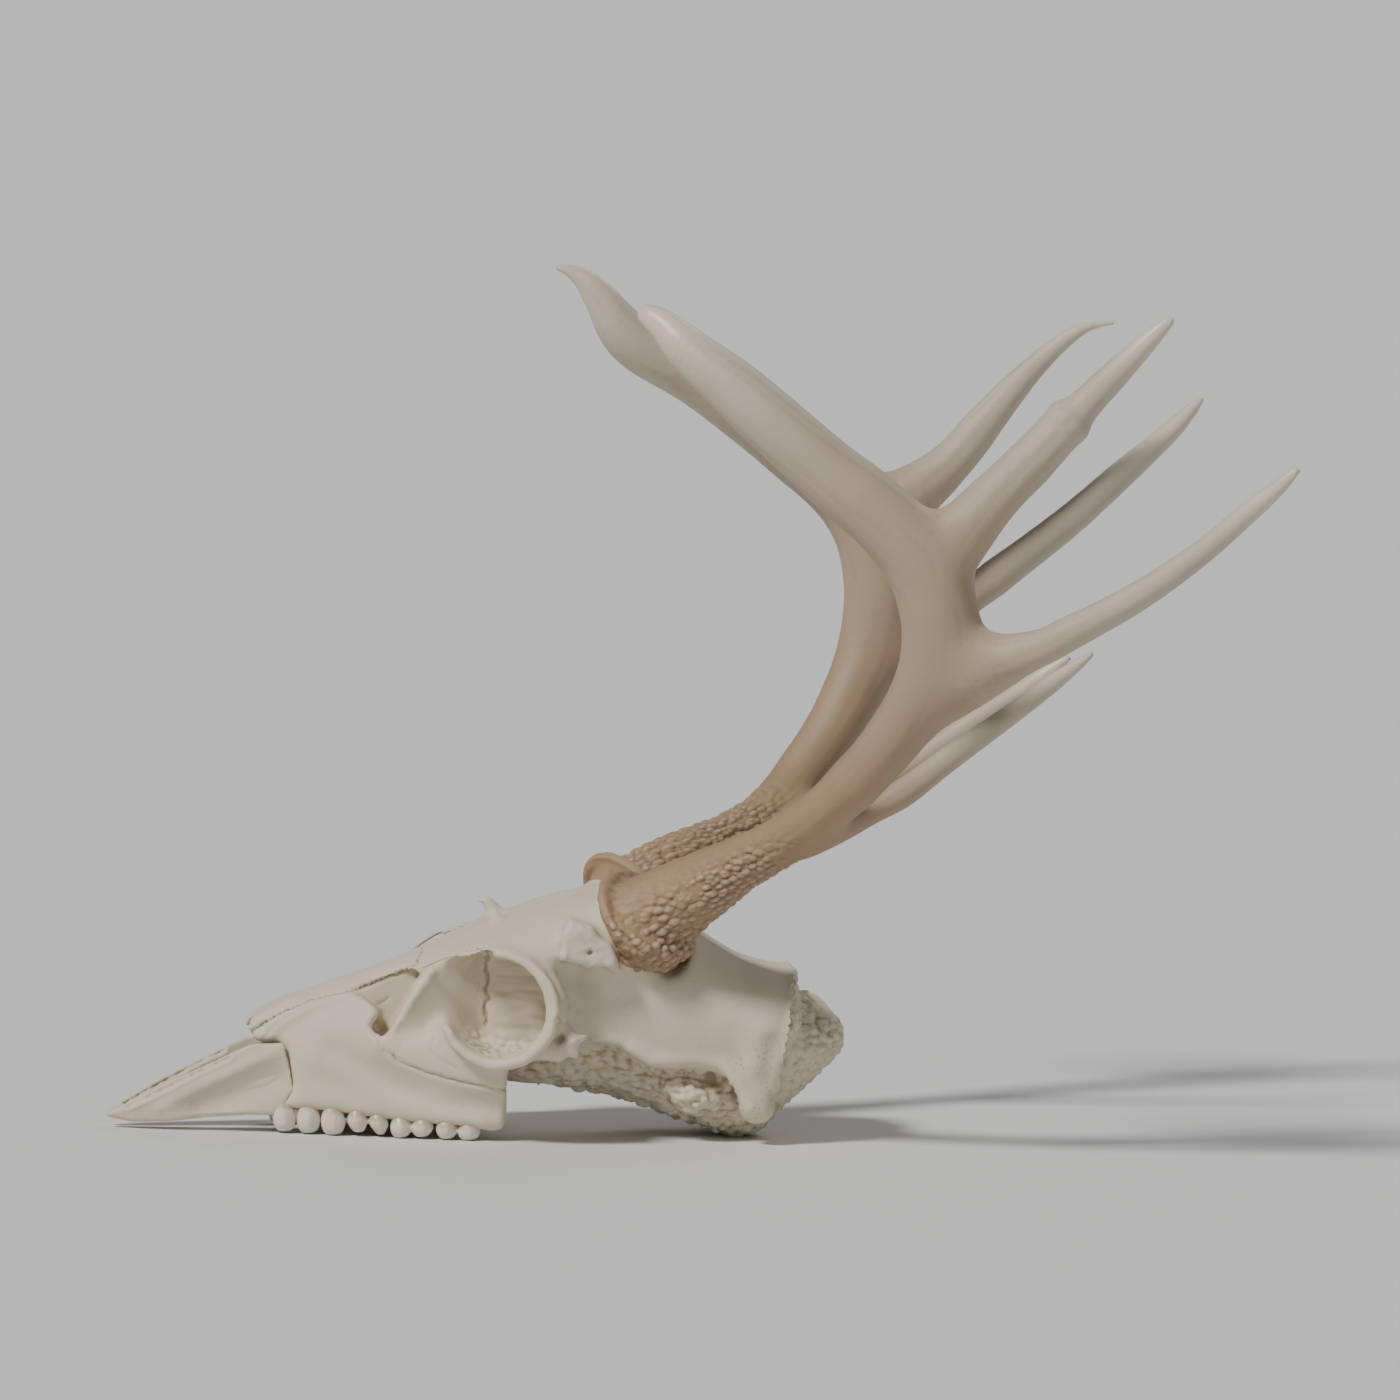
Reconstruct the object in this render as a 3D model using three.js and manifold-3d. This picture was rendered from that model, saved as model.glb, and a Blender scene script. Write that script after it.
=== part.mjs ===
// White-tailed deer skull with both antlers, life size, lying on its teeth and the
// base of its braincase. Millimetres, +Z up, -X towards the nose, -Y the deer's left.
// The skull bones are modelled in profile stations along X, joined, opened for the
// orbits and nose, and parted along their sutures. Each antler is a set of tapering
// tubes that is parted at its forks.

import * as THREE from 'three';
import { mergeVertices } from 'three/addons/utils/BufferGeometryUtils.js';
import Module from 'manifold-3d';

const wasm = await Module();
wasm.setup();

// ---------------------------------------------------------------- driving sizes
const GAP = 0.3; // clear width of every suture and parting cut
const REST_TILT = THREE.MathUtils.degToRad(-1.3); // palate against the floor, nose down
const REST_HEIGHT = 4.2; // floor level under the nose tip, before that tilt
const SIDES = { left: -1, right: 1 };
const SECTION_POINTS = 28; // points round a skull section
const CORE = 20; // half width of the middle block between the side bones
const TEMPLE = 43; // no part of the temporal bones is further out than this

const FACE_FIELDS = [
  'top', 'crownY', 'crownZ', 'wallY', 'wallZ', 'cheekY', 'cheekZ',
  'grooveY', 'grooveZ', 'edgeY', 'edgeZ', 'innerY', 'innerZ', 'palate'];
// Station x, then the half section from the ridge of the nose to the palate.
const FACE_STATIONS = [
  [56, 46, 8, 43, 12, 38, 13, 34, 13, 30, 12, 28, 8, 28, 30],
  [64, 50.5, 9, 48, 14, 38, 17, 28, 18, 20, 19.5, 13.5, 12, 13.5, 15],
  [74, 55, 10.5, 52, 17, 42, 20, 30, 19.5, 21, 22, 13, 14, 13, 15.5],
  [86, 59.5, 11.5, 56, 20.5, 45, 23.5, 33, 22.5, 21, 26, 12.5, 16.5, 12.5, 16.5],
  [100, 64, 13, 60.5, 25, 48, 28.5, 35, 26, 20, 29.5, 9.8, 18.5, 10.5, 17.5],
  [115, 69, 15, 66, 29, 52, 34, 36, 29.5, 18.5, 33, 8.2, 21, 9, 18],
  [128, 74.3, 20, 71, 33, 55, 39, 36, 33.5, 18, 35.5, 7.2, 23, 8, 18.5],
  [142, 80.5, 27, 76, 34, 56, 42, 32, 36, 15, 36.5, 4.8, 24, 5.5, 18.5],
  [150.5, 83.5, 30, 79, 30, 56, 41, 28, 37.5, 14, 36, 3.6, 24.5, 4.5, 18.5],
];

const CRANIUM_FIELDS = [
  'top', 'crownY', 'crownZ', 'browY', 'browZ', 'wallY', 'wallZ',
  'lowY', 'lowZ', 'baseY', 'baseZ', 'floor'];
const CRANIUM_STATIONS = [
  [112, 68, 11, 66, 15, 61, 16, 52, 14, 42, 9, 36, 34],
  [128, 74.3, 22, 72, 31, 68, 22, 56, 18, 45, 12, 38, 36],
  [143, 80.6, 30, 77.5, 43, 73.5, 22, 60, 18, 46, 13, 36, 33],
  [157, 85.6, 33, 82, 50, 74, 23, 62, 18, 44, 13, 34, 32],
  [167, 89, 35, 84.5, 51, 71, 27, 58, 22, 43, 16, 34, 31],
  [177, 91.8, 36, 86.5, 45, 76, 33, 60, 30, 43, 24, 35, 31],
  [190, 94, 36, 88, 42, 79, 37.5, 60, 34, 45, 29, 37, 30],
  [203, 93.5, 32, 88, 40, 77, 39, 58, 36.5, 41, 31, 30, 28],
  [215, 87, 23, 84, 35, 73, 40, 55, 38, 39, 33, 28.5, 26],
  [228, 75.5, 18, 74.5, 32, 66, 39.5, 51, 38.5, 36, 34, 27.5, 25],
  [241, 67.3, 17, 66.7, 31, 61.5, 39.5, 48, 38, 34, 34, 26, 24],
  [253, 63.5, 17, 63, 31, 59, 40, 45, 36, 31, 31, 22, 22],
  [262.5, 62.5, 16, 62, 29, 57, 36, 46, 30, 36, 22, 30, 28],
];

// Orbit: a cup round an axis that looks outwards and a little towards the nose.
const ORBIT = {
  centre: [146.4, 47, 53.2],
  turn: THREE.MathUtils.degToRad(19),
  outer: [[-4, 22.4], [0, 23.6], [6, 22.8], [16, 21], [30, 18]],
  inner: [[-14, 20.8], [0, 19.6], [8, 20.4], [17, 19.4], [25, 15.5]],
};
const NOSE_CAVITY = [
  // x, half width, floor, roof
  [50, 9.5, 17, 47], [62, 9.5, 18.5, 45], [74, 10.5, 20, 49], [90, 10.5, 24, 52], [104, 8, 32, 55]];
const PREMAXILLA = [
  // x, outer Y, top, flank ridge Z, bottom, shelf inner Y
  [0.5, 5, 9.8, 8.8, 7.8, 1.2], [10, 9, 15, 12.5, 6.3, 1.4], [24, 12.4, 22.4, 18, 6.8, 2.2],
  [39, 14.6, 29.4, 23, 8.6, 2.8], [54, 16.6, 36.6, 29, 9.6, 3.2], [64, 17.8, 38, 32, 9.4, 3.6],
  [73, 18.8, 38.2, 33, 9.4, 4]];
const NASAL_TIP = [
  // x, centre Y, centre Z, half width, half height
  [53.2, 4.6, 41, 1.4, 1.4], [55.5, 5, 42.6, 4.2, 2.8], [60, 5.8, 45.4, 5.4, 3.4],
  [66, 6.4, 48.4, 6.2, 3.8], [76, 6.8, 51.8, 7, 4]];

// Cheek teeth, front to back: the crown lobes along the row, with their lowest point.
const TOOTH_LOBES = [
  [65.2, 8.6, 4.2], [74.8, 9.2, 3.4], [84.6, 9.2, 3], [93.6, 7.6, 3.2], [101.6, 7.6, 2.4],
  [110.2, 7.8, 1.5], [118.4, 8, 1.3], [127.2, 8, 1.1], [136, 8, 0.9]];
const TOOTH_HALF_WIDTH = 5.6;
const TOOTH_NECK_Z = 16;

const SPHENOID = [
  // x, half width, bottom, top
  [152, 11, 21, 34], [158, 12, 19, 38], [172, 14, 17, 40], [188, 18, 15.5, 42],
  [203, 22, 11, 42], [216, 25, 5, 42], [226.5, 26, 3.2, 42]];
const BASIOCCIPITAL = [
  [226, 25, 5, 44], [232, 27, -1.5, 46], [240, 28, -2.4, 50], [248, 28, -1.8, 52], [254, 29, 6.5, 53],
  [262, 28.5, 13.5, 52.5], [269, 27, 20, 51], [276, 24, 29, 48], [280.5, 17, 35, 43]];
const CHOANA = [[136, 7, 23, 31], [150, 8, 22, 33], [160, 8, 20, 34], [170, 6, 15, 30]];
const BULLA = [[213, 26, 21, 4.5], [221, 27.5, 16.5, 7], [230, 27, 15.5, 4.5]];
const FORAMEN = { z: 39, halfWidth: 10.5, halfHeight: 9, from: 252, to: 290 };
// Paracondylar process: centre line with its radius, outer side of the skull base.
const PARACONDYLAR = [
  [247.5, 31, 42, 11], [246.8, 33, 29, 8.6], [246.2, 33.5, 18.5, 6.3], [246.4, 33, 12.2, 6.3]];
const FRONTAL_SPUR = {
  left: [[150.5, 12, 76, 6.5], [149, 11.5, 82, 4.2], [147.6, 11, 85.8, 1.8]],
  right: [[151, 12, 76, 5.5], [149, 11.5, 84, 3.4], [146, 11, 88.6, 1.8], [143.4, 10.8, 88, 0.9]],
};
const ZYGOMA_STUB = [[163, 49, 38, 5], [169.5, 48.5, 36.6, 4.4], [173.6, 48.2, 39.6, 3.4],
  [174.4, 48, 43, 2]];
const BROW_FLAKE = { outline: [[169.4, 72], [171, 82], [173.5, 87], [182, 84.3], [190.3, 76.6],
  [189.6, 67.6], [186.5, 69]], inner: 36, outer: 46.5 };

// Antlers: centre line points with radii, from the burr outwards, for each side.
const BURR = { radius: 22.3, height: 8, rise: 1.2 };
const PEDICLE = [[187, 23, 66, 19], [195, 28, 78, 17], [203, 34, 87, 16]];
const ANTLERS = {
  left: {
    beam: [[199.5, 30.5, 81.5, 16], [214, 40, 92.5, 14.6], [233, 56, 106, 11.8], [255, 74, 121, 10.8],
      [278, 94, 143, 11.4], [300, 107, 173, 13.4], [309, 112, 199, 15.5], [304, 114, 225, 16],
      [288, 114, 245, 14.5], [264, 112, 265, 12.5], [234, 106, 292, 11.2], [215, 98, 308, 9],
      [203, 90.5, 319.2, 4.8], [198, 88, 321, 2.6]],
    brow: [[259, 74, 118, 8.5], [278, 72, 126, 7.8], [298, 68, 136, 6], [317, 62, 149, 5.2],
      [337, 56, 162, 4.6], [356, 50, 175, 3.6], [371, 46, 185, 1.2]],
    second: [[313, 114, 194, 12], [335, 124, 193, 8.6], [354, 131, 202, 6.9], [380, 140, 217, 5.9],
      [402, 148, 233, 5.1], [420, 154, 249, 4.3], [439, 162, 267, 1.2]],
    web: [[298, 106.5, 169, 11.5], [320, 114.5, 185.5, 13.5], [346, 127, 198, 8]],
    third: [[313, 114, 234, 13.5], [326, 116, 250, 11.5], [340, 117, 264, 9.5], [359, 119, 284, 9],
      [374, 121, 300, 5.5], [385, 122.5, 311, 3.8], [395, 124, 320, 1.2]],
  },
  right: {
    beam: [[199.5, 30.5, 81.5, 16], [215, 40, 92, 14.6], [236, 56, 102, 11.8], [256, 71, 112, 10.8],
      [272, 86, 127, 11.3], [289, 98, 149, 12.5], [300, 107, 172, 13.5], [305, 111, 197, 15],
      [300, 112, 220, 15], [287, 111, 237, 13.8], [261, 108, 259.5, 13.2], [235, 104, 279, 12.6],
      [209, 99, 293, 10.5], [196, 96, 310, 6.6], [189.5, 94, 318, 4.2], [181, 92, 321.6, 1.2]],
    brow: [[261, 72, 108, 8.5], [282, 68, 115, 7.8], [300, 62, 126, 6], [319, 57, 138, 5.2],
      [338, 52, 152, 4.6], [356, 47, 164, 3.6], [370, 44, 174, 1.2]],
    second: [[314, 112, 178, 12], [334, 122, 187, 8.5], [355, 130, 201, 7], [379, 138, 218, 6.5],
      [400, 145, 235, 5.8], [418, 155, 249, 4.4], [432, 162, 262, 1.2]],
    web: [[289, 99, 154, 11.5], [310, 110.5, 172.5, 13.5], [340, 124, 190, 8]],
    third: [[310, 112, 227, 14], [329.5, 114, 241, 10.2], [343.6, 116, 256.8, 7.6],
      [356.6, 117, 271.8, 5.8], [369.6, 118, 284.8, 4.1], [380.6, 119, 293, 2.6],
      [394, 120, 296.2, 1]],
  },
};
// Where each beam is parted, as a station number, and where each tine leaves it.
const BEAM_CUTS = { left: { lower: 4.5, fork: 8.2 }, right: { lower: 4.5, fork: 9.4 } };
const TINE_ROOT = { brow: 1.9, second: 1.1, third: 1.5 };
const BEAM_CLEARANCE = 16.5; // radius kept clear of the skull behind the burr
const BEAM_SIDES = 10;
const TINE_SIDES = 8;

// Sutures in side view, as x and z.
const SUTURE = {
  premaxilla: [[50, 37.6], [57, 37.4], [66.8, 36.9], [68.7, 30], [70.6, 19.3], [66.8, 13.6],
    [61.2, 8], [61.2, -8]],
  nasalMaxilla: [[50, 37.6], [58.7, 43.9], [67.8, 49.2], [80.8, 54], [94.1, 57], [113.2, 64.3]],
  nasalFrontal: [[113.2, 64.3], [116.5, 67], [121, 72], [123, 120]],
  lacrimalMaxilla: [[113.2, 64.3], [104, 50], [102, 37.3], [107.7, 34.2]],
  lacrimalFrontal: [[113.2, 64.3], [124, 66.3], [143.5, 66], [143.5, 46.2]],
  lacrimalJugal: [[107.7, 34.2], [110.8, 39.2], [116.5, 41.8], [123.7, 40.7], [128.6, 46.4],
    [143.5, 46.2]],
  jugalMaxilla: [[107.7, 34.2], [108.8, 32], [119.5, 27.7], [132, 24.6], [152, 20.6]],
  frontalJugal: [[143.5, 46.2], [169, 49.2], [175, 49.4]],
  frontalTemporal: [[175, 49.4], [190, 52], [205, 60], [212, 66]],
  coronal: [[212, 66], [212, 120]],
  parietalTemporal: [[212, 66], [228, 57], [243, 51], [254, 50]],
  nuchal: [[260.5, 120], [261, 62], [258, 56], [254, 50], [249, 40], [237, 31], [231.8, 27.3]],
  temporalBase: [[231.8, 27.3], [220.4, 28.9], [206.3, 27.5], [191.8, 37.2], [175, 36.4]],
  occipitalBase: [[231.8, 27.3], [226.5, 14], [226, -8]],
};

// ---------------------------------------------------------------- materials
function bone(color) {
  return new THREE.MeshStandardMaterial({ color, roughness: 0.72, metalness: 0 });
}
const MATERIAL = {
  bone: bone(0xd9cfb8),
  face: bone(0xe0d7c2),
  base: bone(0xc9bca0),
  antler: new THREE.MeshStandardMaterial({ color: 0xa98e6c, roughness: 0.6, metalness: 0 }),
  tine: new THREE.MeshStandardMaterial({ color: 0xc9b595, roughness: 0.5, metalness: 0 }),
};

// ---------------------------------------------------------------- shape helpers
// Smooth value between table rows, as a cubic through the four nearest ones.
function between(rows, at) {
  const last = rows.length - 1;
  const i = Math.min(Math.max(Math.floor(at), 0), last - 1);
  const t = at - i;
  const [a, b, c, d] = [Math.max(i - 1, 0), i, i + 1, Math.min(i + 2, last)].map((k) => rows[k]);
  return b.map((value, k) => {
    const bend = 3 * (value - c[k]) + d[k] - a[k];
    const pull = 2 * a[k] - 5 * value + 4 * c[k] - d[k];
    return value + 0.5 * t * (c[k] - a[k] + t * (pull + t * bend));
  });
}

function withSteps(rows, steps) {
  const count = (rows.length - 1) * steps;
  return Array.from({ length: count + 1 }, (_, i) => between(rows, i / steps));
}

// Closed body through rings that all have the same number of points.
function loft(rings) {
  const size = rings[0].length;
  const middles = [rings[0], rings[rings.length - 1]].map((ring) => ring
    .reduce((sum, point) => sum.add(point), new THREE.Vector3()).divideScalar(size));
  const points = [...rings.flat(), ...middles];
  const faces = [];
  for (let r = 0; r + 1 < rings.length; r += 1) {
    for (let k = 0; k < size; k += 1) {
      const a = r * size + k;
      const b = r * size + ((k + 1) % size);
      faces.push(a, b, a + size, b, b + size, a + size);
    }
  }
  const end = (rings.length - 1) * size;
  for (let k = 0; k < size; k += 1) {
    const next = (k + 1) % size;
    faces.push(rings.length * size, next, k);
    faces.push(rings.length * size + 1, end + k, end + next);
  }
  const geometry = new THREE.BufferGeometry().setFromPoints(points);
  geometry.setIndex(faces);
  return geometry;
}

function solid(geometry) {
  const plain = geometry.clone();
  plain.deleteAttribute('normal');
  plain.deleteAttribute('uv');
  const merged = mergeVertices(plain, 1e-4);
  const mesh = { numProp: 3, vertProperties: merged.attributes.position.array,
    triVerts: Uint32Array.from(merged.index.array) };
  const body = new wasm.Manifold(new wasm.Mesh(mesh));
  if (body.volume() > 0) return body;
  mesh.triVerts.reverse();
  return new wasm.Manifold(new wasm.Mesh(mesh));
}

function join(bodies) {
  return bodies.reduce((whole, body) => whole.add(body));
}

// Ring round a half section, whose first and last points lie on the middle plane.
function sectionRing(x, half) {
  const other = half.slice(1, -1).reverse().map(([y, z]) => [-y, z]);
  const points = [...half, ...other].map(([y, z]) => new THREE.Vector3(x, y, z));
  const curve = new THREE.CatmullRomCurve3(points, true, 'centripetal');
  const ring = [];
  for (let k = 0; k < SECTION_POINTS; k += 1) ring.push(curve.getPointAt(k / SECTION_POINTS));
  return ring;
}

function profileBody(stations, fields, steps) {
  return solid(loft(withSteps(stations, steps).map((row) => {
    const value = (name) => row[1 + fields.indexOf(name)];
    const pairs = fields.filter((name) => name.endsWith('Y')).map((name) => name.slice(0, -1));
    const middle = pairs.map((name) => [value(`${name}Y`), value(`${name}Z`)]);
    const last = fields[fields.length - 1];
    return sectionRing(row[0], [[0, value('top')], ...middle, [0, value(last)]]);
  })));
}

// Body with an elliptical section that runs along X.
function roundBody(rows, steps, sides = 20) {
  return solid(loft(withSteps(rows, steps).map(([x, halfWidth, bottom, top]) => {
    const ring = [];
    for (let k = 0; k < sides; k += 1) {
      const angle = (k / sides) * 2 * Math.PI;
      const y = halfWidth * Math.cos(angle);
      const z = (top + bottom) / 2 + ((top - bottom) / 2) * Math.sin(angle);
      ring.push(new THREE.Vector3(x, y, z));
    }
    return ring;
  })));
}

// Tapering tube through points with radii, with rounded ends.
function tube(rows, sides, steps) {
  const path = withSteps(rows, steps);
  const centres = path.map(([x, y, z]) => new THREE.Vector3(x, y, z));
  const rings = [];
  let across = new THREE.Vector3(0, 0, 1);
  path.forEach((row, i) => {
    const before = centres[Math.max(i - 1, 0)];
    const after = centres[Math.min(i + 1, centres.length - 1)];
    const along = after.clone().sub(before).normalize();
    across = across.clone().addScaledVector(along, -across.dot(along)).normalize();
    const side = along.clone().cross(across);
    const ringAt = (shift, radius) => {
      const ring = [];
      for (let k = 0; k < sides; k += 1) {
        const angle = (k / sides) * 2 * Math.PI;
        ring.push(centres[i].clone().addScaledVector(along, shift * row[3])
          .addScaledVector(across, radius * row[3] * Math.cos(angle))
          .addScaledVector(side, radius * row[3] * Math.sin(angle)));
      }
      return ring;
    };
    if (i === 0) rings.push(ringAt(-0.8, 0.5));
    rings.push(ringAt(0, 1));
    if (i === path.length - 1) rings.push(ringAt(0.8, 0.5));
  });
  return solid(loft(rings));
}

// Plate of a side-view outline between two depths.
function prism(outline, near, far) {
  const shape = new THREE.Shape(outline.map(([x, z]) => new THREE.Vector2(x, z)));
  const geometry = new THREE.ExtrudeGeometry(shape, { depth: far - near, bevelEnabled: false });
  geometry.rotateX(Math.PI / 2);
  geometry.translate(0, far, 0);
  return solid(geometry);
}

// The same outline moved inwards by half a gap, so that neighbours stay apart.
function inset(outline) {
  const points = outline.map(([x, z]) => new THREE.Vector2(x, z));
  const turn = Math.sign(THREE.ShapeUtils.area(points));
  return points.map((point, i) => {
    const before = points[(i + points.length - 1) % points.length];
    const after = points[(i + 1) % points.length];
    const a = point.clone().sub(before).normalize();
    const b = after.clone().sub(point).normalize();
    const normal = new THREE.Vector2(-a.y - b.y, a.x + b.x).normalize();
    const sharp = Math.max(Math.abs(-a.y * normal.x + a.x * normal.y), 0.35);
    const shift = (turn * GAP) / 2 / sharp;
    return [point.x + normal.x * shift, point.y + normal.y * shift];
  });
}

function outlineOf(...lines) {
  const points = lines.flat();
  return inset(points.filter((point, i) => {
    const next = points[(i + 1) % points.length];
    return Math.hypot(point[0] - next[0], point[1] - next[1]) > 1e-6;
  }));
}

const back = (line) => [...line].reverse();

function mirrored(rows) {
  return rows.map(([x, y, ...rest]) => [x, -y, ...rest]);
}

// Everything beyond a plane, as a large block standing on it.
function beyond(point, normal, reach = 500) {
  const block = new THREE.BoxGeometry(reach, reach, reach);
  block.translate(0, 0, reach / 2 + GAP / 2);
  const up = new THREE.Vector3(0, 0, 1);
  block.applyQuaternion(new THREE.Quaternion().setFromUnitVectors(up, normal));
  block.translate(point.x, point.y, point.z);
  return solid(block);
}

// Place and direction of a tube at a station number.
function stationPlane(rows, at) {
  const here = between(rows, at);
  const ahead = between(rows, at + 0.05);
  const point = new THREE.Vector3(here[0], here[1], here[2]);
  const normal = new THREE.Vector3(ahead[0], ahead[1], ahead[2]).sub(point).normalize();
  return { point, normal, behind: normal.clone().negate() };
}

// ---------------------------------------------------------------- skull body
function orbitCup(profile, side, sides = 18) {
  const [x, y, z] = ORBIT.centre;
  const inwards = new THREE.Vector3(Math.sin(ORBIT.turn), -side * Math.cos(ORBIT.turn), 0);
  const across = new THREE.Vector3(Math.cos(ORBIT.turn), side * Math.sin(ORBIT.turn), 0);
  const rings = profile.map(([depth, radius]) => {
    const middle = new THREE.Vector3(x, side * y, z).addScaledVector(inwards, depth);
    const ring = [];
    for (let k = 0; k < sides; k += 1) {
      const angle = (k / sides) * 2 * Math.PI;
      const point = middle.clone().addScaledVector(across, radius * Math.cos(angle));
      point.z += radius * Math.sin(angle);
      ring.push(point);
    }
    return ring;
  });
  return solid(loft(rings));
}

function tooth([x, length, bottom], side) {
  const middleY = side * (between(FACE_STATIONS, stationNumber(x))[10] - TOOTH_HALF_WIDTH - 0.8);
  const levels = [[bottom, 0.72], [bottom + 2.4, 1], [TOOTH_NECK_Z, 0.9]];
  return solid(loft(levels.map(([z, scale]) => {
    const ring = [];
    for (let k = 0; k < 8; k += 1) {
      const angle = ((k + 0.5) / 8) * 2 * Math.PI;
      const dx = (length / 2 + 0.15) * scale * Math.cos(angle);
      const dy = TOOTH_HALF_WIDTH * scale * Math.sin(angle);
      ring.push(new THREE.Vector3(x + dx, middleY + dy, z));
    }
    return ring;
  })));
}

// Station number of the face table at a place along X.
function stationNumber(x) {
  const i = FACE_STATIONS.findIndex((row) => row[0] > x);
  const k = i < 0 ? FACE_STATIONS.length - 1 : Math.max(i, 1);
  const [before, after] = [FACE_STATIONS[k - 1][0], FACE_STATIONS[k][0]];
  return k - 1 + (x - before) / (after - before);
}

function nasalTip(side) {
  return solid(loft(withSteps(NASAL_TIP, 1).map(([x, y, z, halfWidth, halfHeight]) => {
    const ring = [];
    for (let k = 0; k < 10; k += 1) {
      const angle = (k / 10) * 2 * Math.PI;
      const point = [x, side * y + halfWidth * Math.cos(angle), z + halfHeight * Math.sin(angle)];
      ring.push(new THREE.Vector3(...point));
    }
    return ring;
  })));
}

function skullBody() {
  const face = profileBody(FACE_STATIONS, FACE_FIELDS, 1);
  const cranium = profileBody(CRANIUM_STATIONS, CRANIUM_FIELDS, 1);
  const parts = [face, cranium, roundBody(SPHENOID, 1, 14), roundBody(BASIOCCIPITAL, 1, 18)];
  const cuts = [roundBody(NOSE_CAVITY, 1, 12), roundBody(CHOANA, 1, 10), foramen(), floorBlock()];
  Object.entries(SIDES).forEach(([name, side]) => {
    const placed = (rows) => (side > 0 ? rows : mirrored(rows));
    parts.push(orbitCup(ORBIT.outer, side));
    parts.push(nasalTip(side));
    parts.push(tube(placed(PARACONDYLAR), 12, 1));
    parts.push(tube(placed(BULLA), 10, 1));
    parts.push(tube(placed(FRONTAL_SPUR[name]), 8, 1));
    parts.push(tube(placed(ZYGOMA_STUB), 8, 1));
    parts.push(pedicle(name, side));
    parts.push(flake(side));
    TOOTH_LOBES.forEach((lobe) => parts.push(tooth(lobe, side)));
    cuts.push(burrClearance(burrPlane(name, side)));
    cuts.push(orbitCup(ORBIT.inner, side));
    cuts.push(vacuity(side));
  });
  return join(parts).subtract(join(cuts));
}

// Everything under the floor, so that what rests on it ends in level flats.
function floorBlock() {
  const block = new THREE.BoxGeometry(500, 200, 50);
  block.translate(150, 0, -25);
  block.rotateY(-REST_TILT);
  block.translate(0, 0, REST_HEIGHT);
  return solid(block);
}

function foramen() {
  const { z, halfWidth, halfHeight, from, to } = FORAMEN;
  const row = (x) => [x, halfWidth, z - halfHeight, z + halfHeight];
  return roundBody([row(from), row(to)], 1, 16);
}

function sideBand(side, near, far) {
  return side > 0 ? [near, far] : [-far, -near];
}

// Opening in the side of the face between the nasal, lacrimal and maxilla.
function vacuity(side) {
  const outline = [[98.5, 44], [102.6, 38.3], [107, 42], [120.8, 64], [113, 65.2], [102, 61.2],
    [94.5, 58.6], [89.5, 57], [95.2, 54.6], [99.4, 52], [102.3, 49.3]];
  return prism(outline, ...sideBand(side, 12, 60));
}

function flake(side) {
  return prism(BROW_FLAKE.outline, ...sideBand(side, BROW_FLAKE.inner, BROW_FLAKE.outer));
}

function burrPlane(name, side) {
  const rows = side > 0 ? ANTLERS[name].beam : mirrored(ANTLERS[name].beam);
  return stationPlane(rows, 0);
}

function pedicle(name, side) {
  const { point, normal } = burrPlane(name, side);
  const stub = tube(side > 0 ? PEDICLE : mirrored(PEDICLE), 14, 1);
  return stub.subtract(beyond(point.clone().addScaledVector(normal, -GAP / 2), normal));
}

// ---------------------------------------------------------------- bones
function skullBones() {
  const body = skullBody();
  const far = 90;
  const half = GAP / 2;
  const bones = {};
  const s = SUTURE;
  const nasal = outlineOf(s.nasalMaxilla, s.nasalFrontal, [[50, 120]]);
  const frontal = outlineOf(s.lacrimalFrontal, s.frontalJugal, s.frontalTemporal, s.coronal,
    back(s.nasalFrontal));
  const lacrimal = outlineOf(s.lacrimalMaxilla, s.lacrimalJugal, back(s.lacrimalFrontal));
  const jugal = outlineOf(s.jugalMaxilla, [[172, 24], [175, 36.4]], back(s.frontalJugal),
    back(s.lacrimalJugal));
  const zygoma = outlineOf(s.jugalMaxilla, [[190, 24], [190, 49.4]], back(s.frontalJugal),
    back(s.lacrimalJugal));
  const maxilla = outlineOf(back(s.premaxilla), s.nasalMaxilla, s.lacrimalMaxilla,
    s.jugalMaxilla, [[152, -8]]);
  const maxillaCore = outlineOf(back(s.premaxilla), s.nasalMaxilla, s.lacrimalFrontal,
    [[152, 46.2], [152, -8]]);
  const temporal = outlineOf([[175, 36.4]], s.frontalTemporal, s.parietalTemporal,
    s.nuchal.slice(4), s.temporalBase);
  const parietal = outlineOf(s.parietalTemporal, back(s.nuchal.slice(0, 4)), back(s.coronal));
  const parietalCore = outlineOf([[175, 36.4]], s.frontalTemporal, s.coronal, s.nuchal,
    s.temporalBase);
  const occipital = outlineOf(s.nuchal, s.occipitalBase, [[300, -8], [300, 120]]);
  const sphenoid = outlineOf([[152, -8], [152, 46.2]], s.frontalJugal, s.frontalTemporal.slice(0, 1),
    back(s.temporalBase), s.occipitalBase);

  Object.entries(SIDES).forEach(([name, side]) => {
    const band = (near, wide) => sideBand(side, near, wide);
    const outer = band(CORE + half, far);
    const inner = band(half, CORE - half);
    const whole = band(half, far);
    bones[`nasal_${name}`] = [prism(nasal, ...whole)];
    bones[`frontal_${name}`] = [prism(frontal, ...whole)];
    bones[`lacrimal_${name}`] = [prism(lacrimal, ...outer)];
    bones[`jugal_${name}`] = [prism(jugal, ...outer), prism(zygoma, ...band(TEMPLE + half, far))];
    bones[`maxilla_${name}`] = [prism(maxilla, ...whole), prism(maxillaCore, ...inner)];
    bones[`temporal_${name}`] = [prism(temporal, ...band(CORE + half, TEMPLE - half))];
  });
  bones.parietal = [prism(parietal, -far, far), prism(parietalCore, -CORE + half, CORE - half)];
  bones.occipital = [prism(occipital, -far, far)];
  bones.sphenoid = [prism(sphenoid, -CORE + half, CORE - half),
    prism(sphenoidFlank(), -far, far)];
  return Object.entries(bones).map(([name, regions]) => [name, body.intersect(join(regions))]);
}

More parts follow.
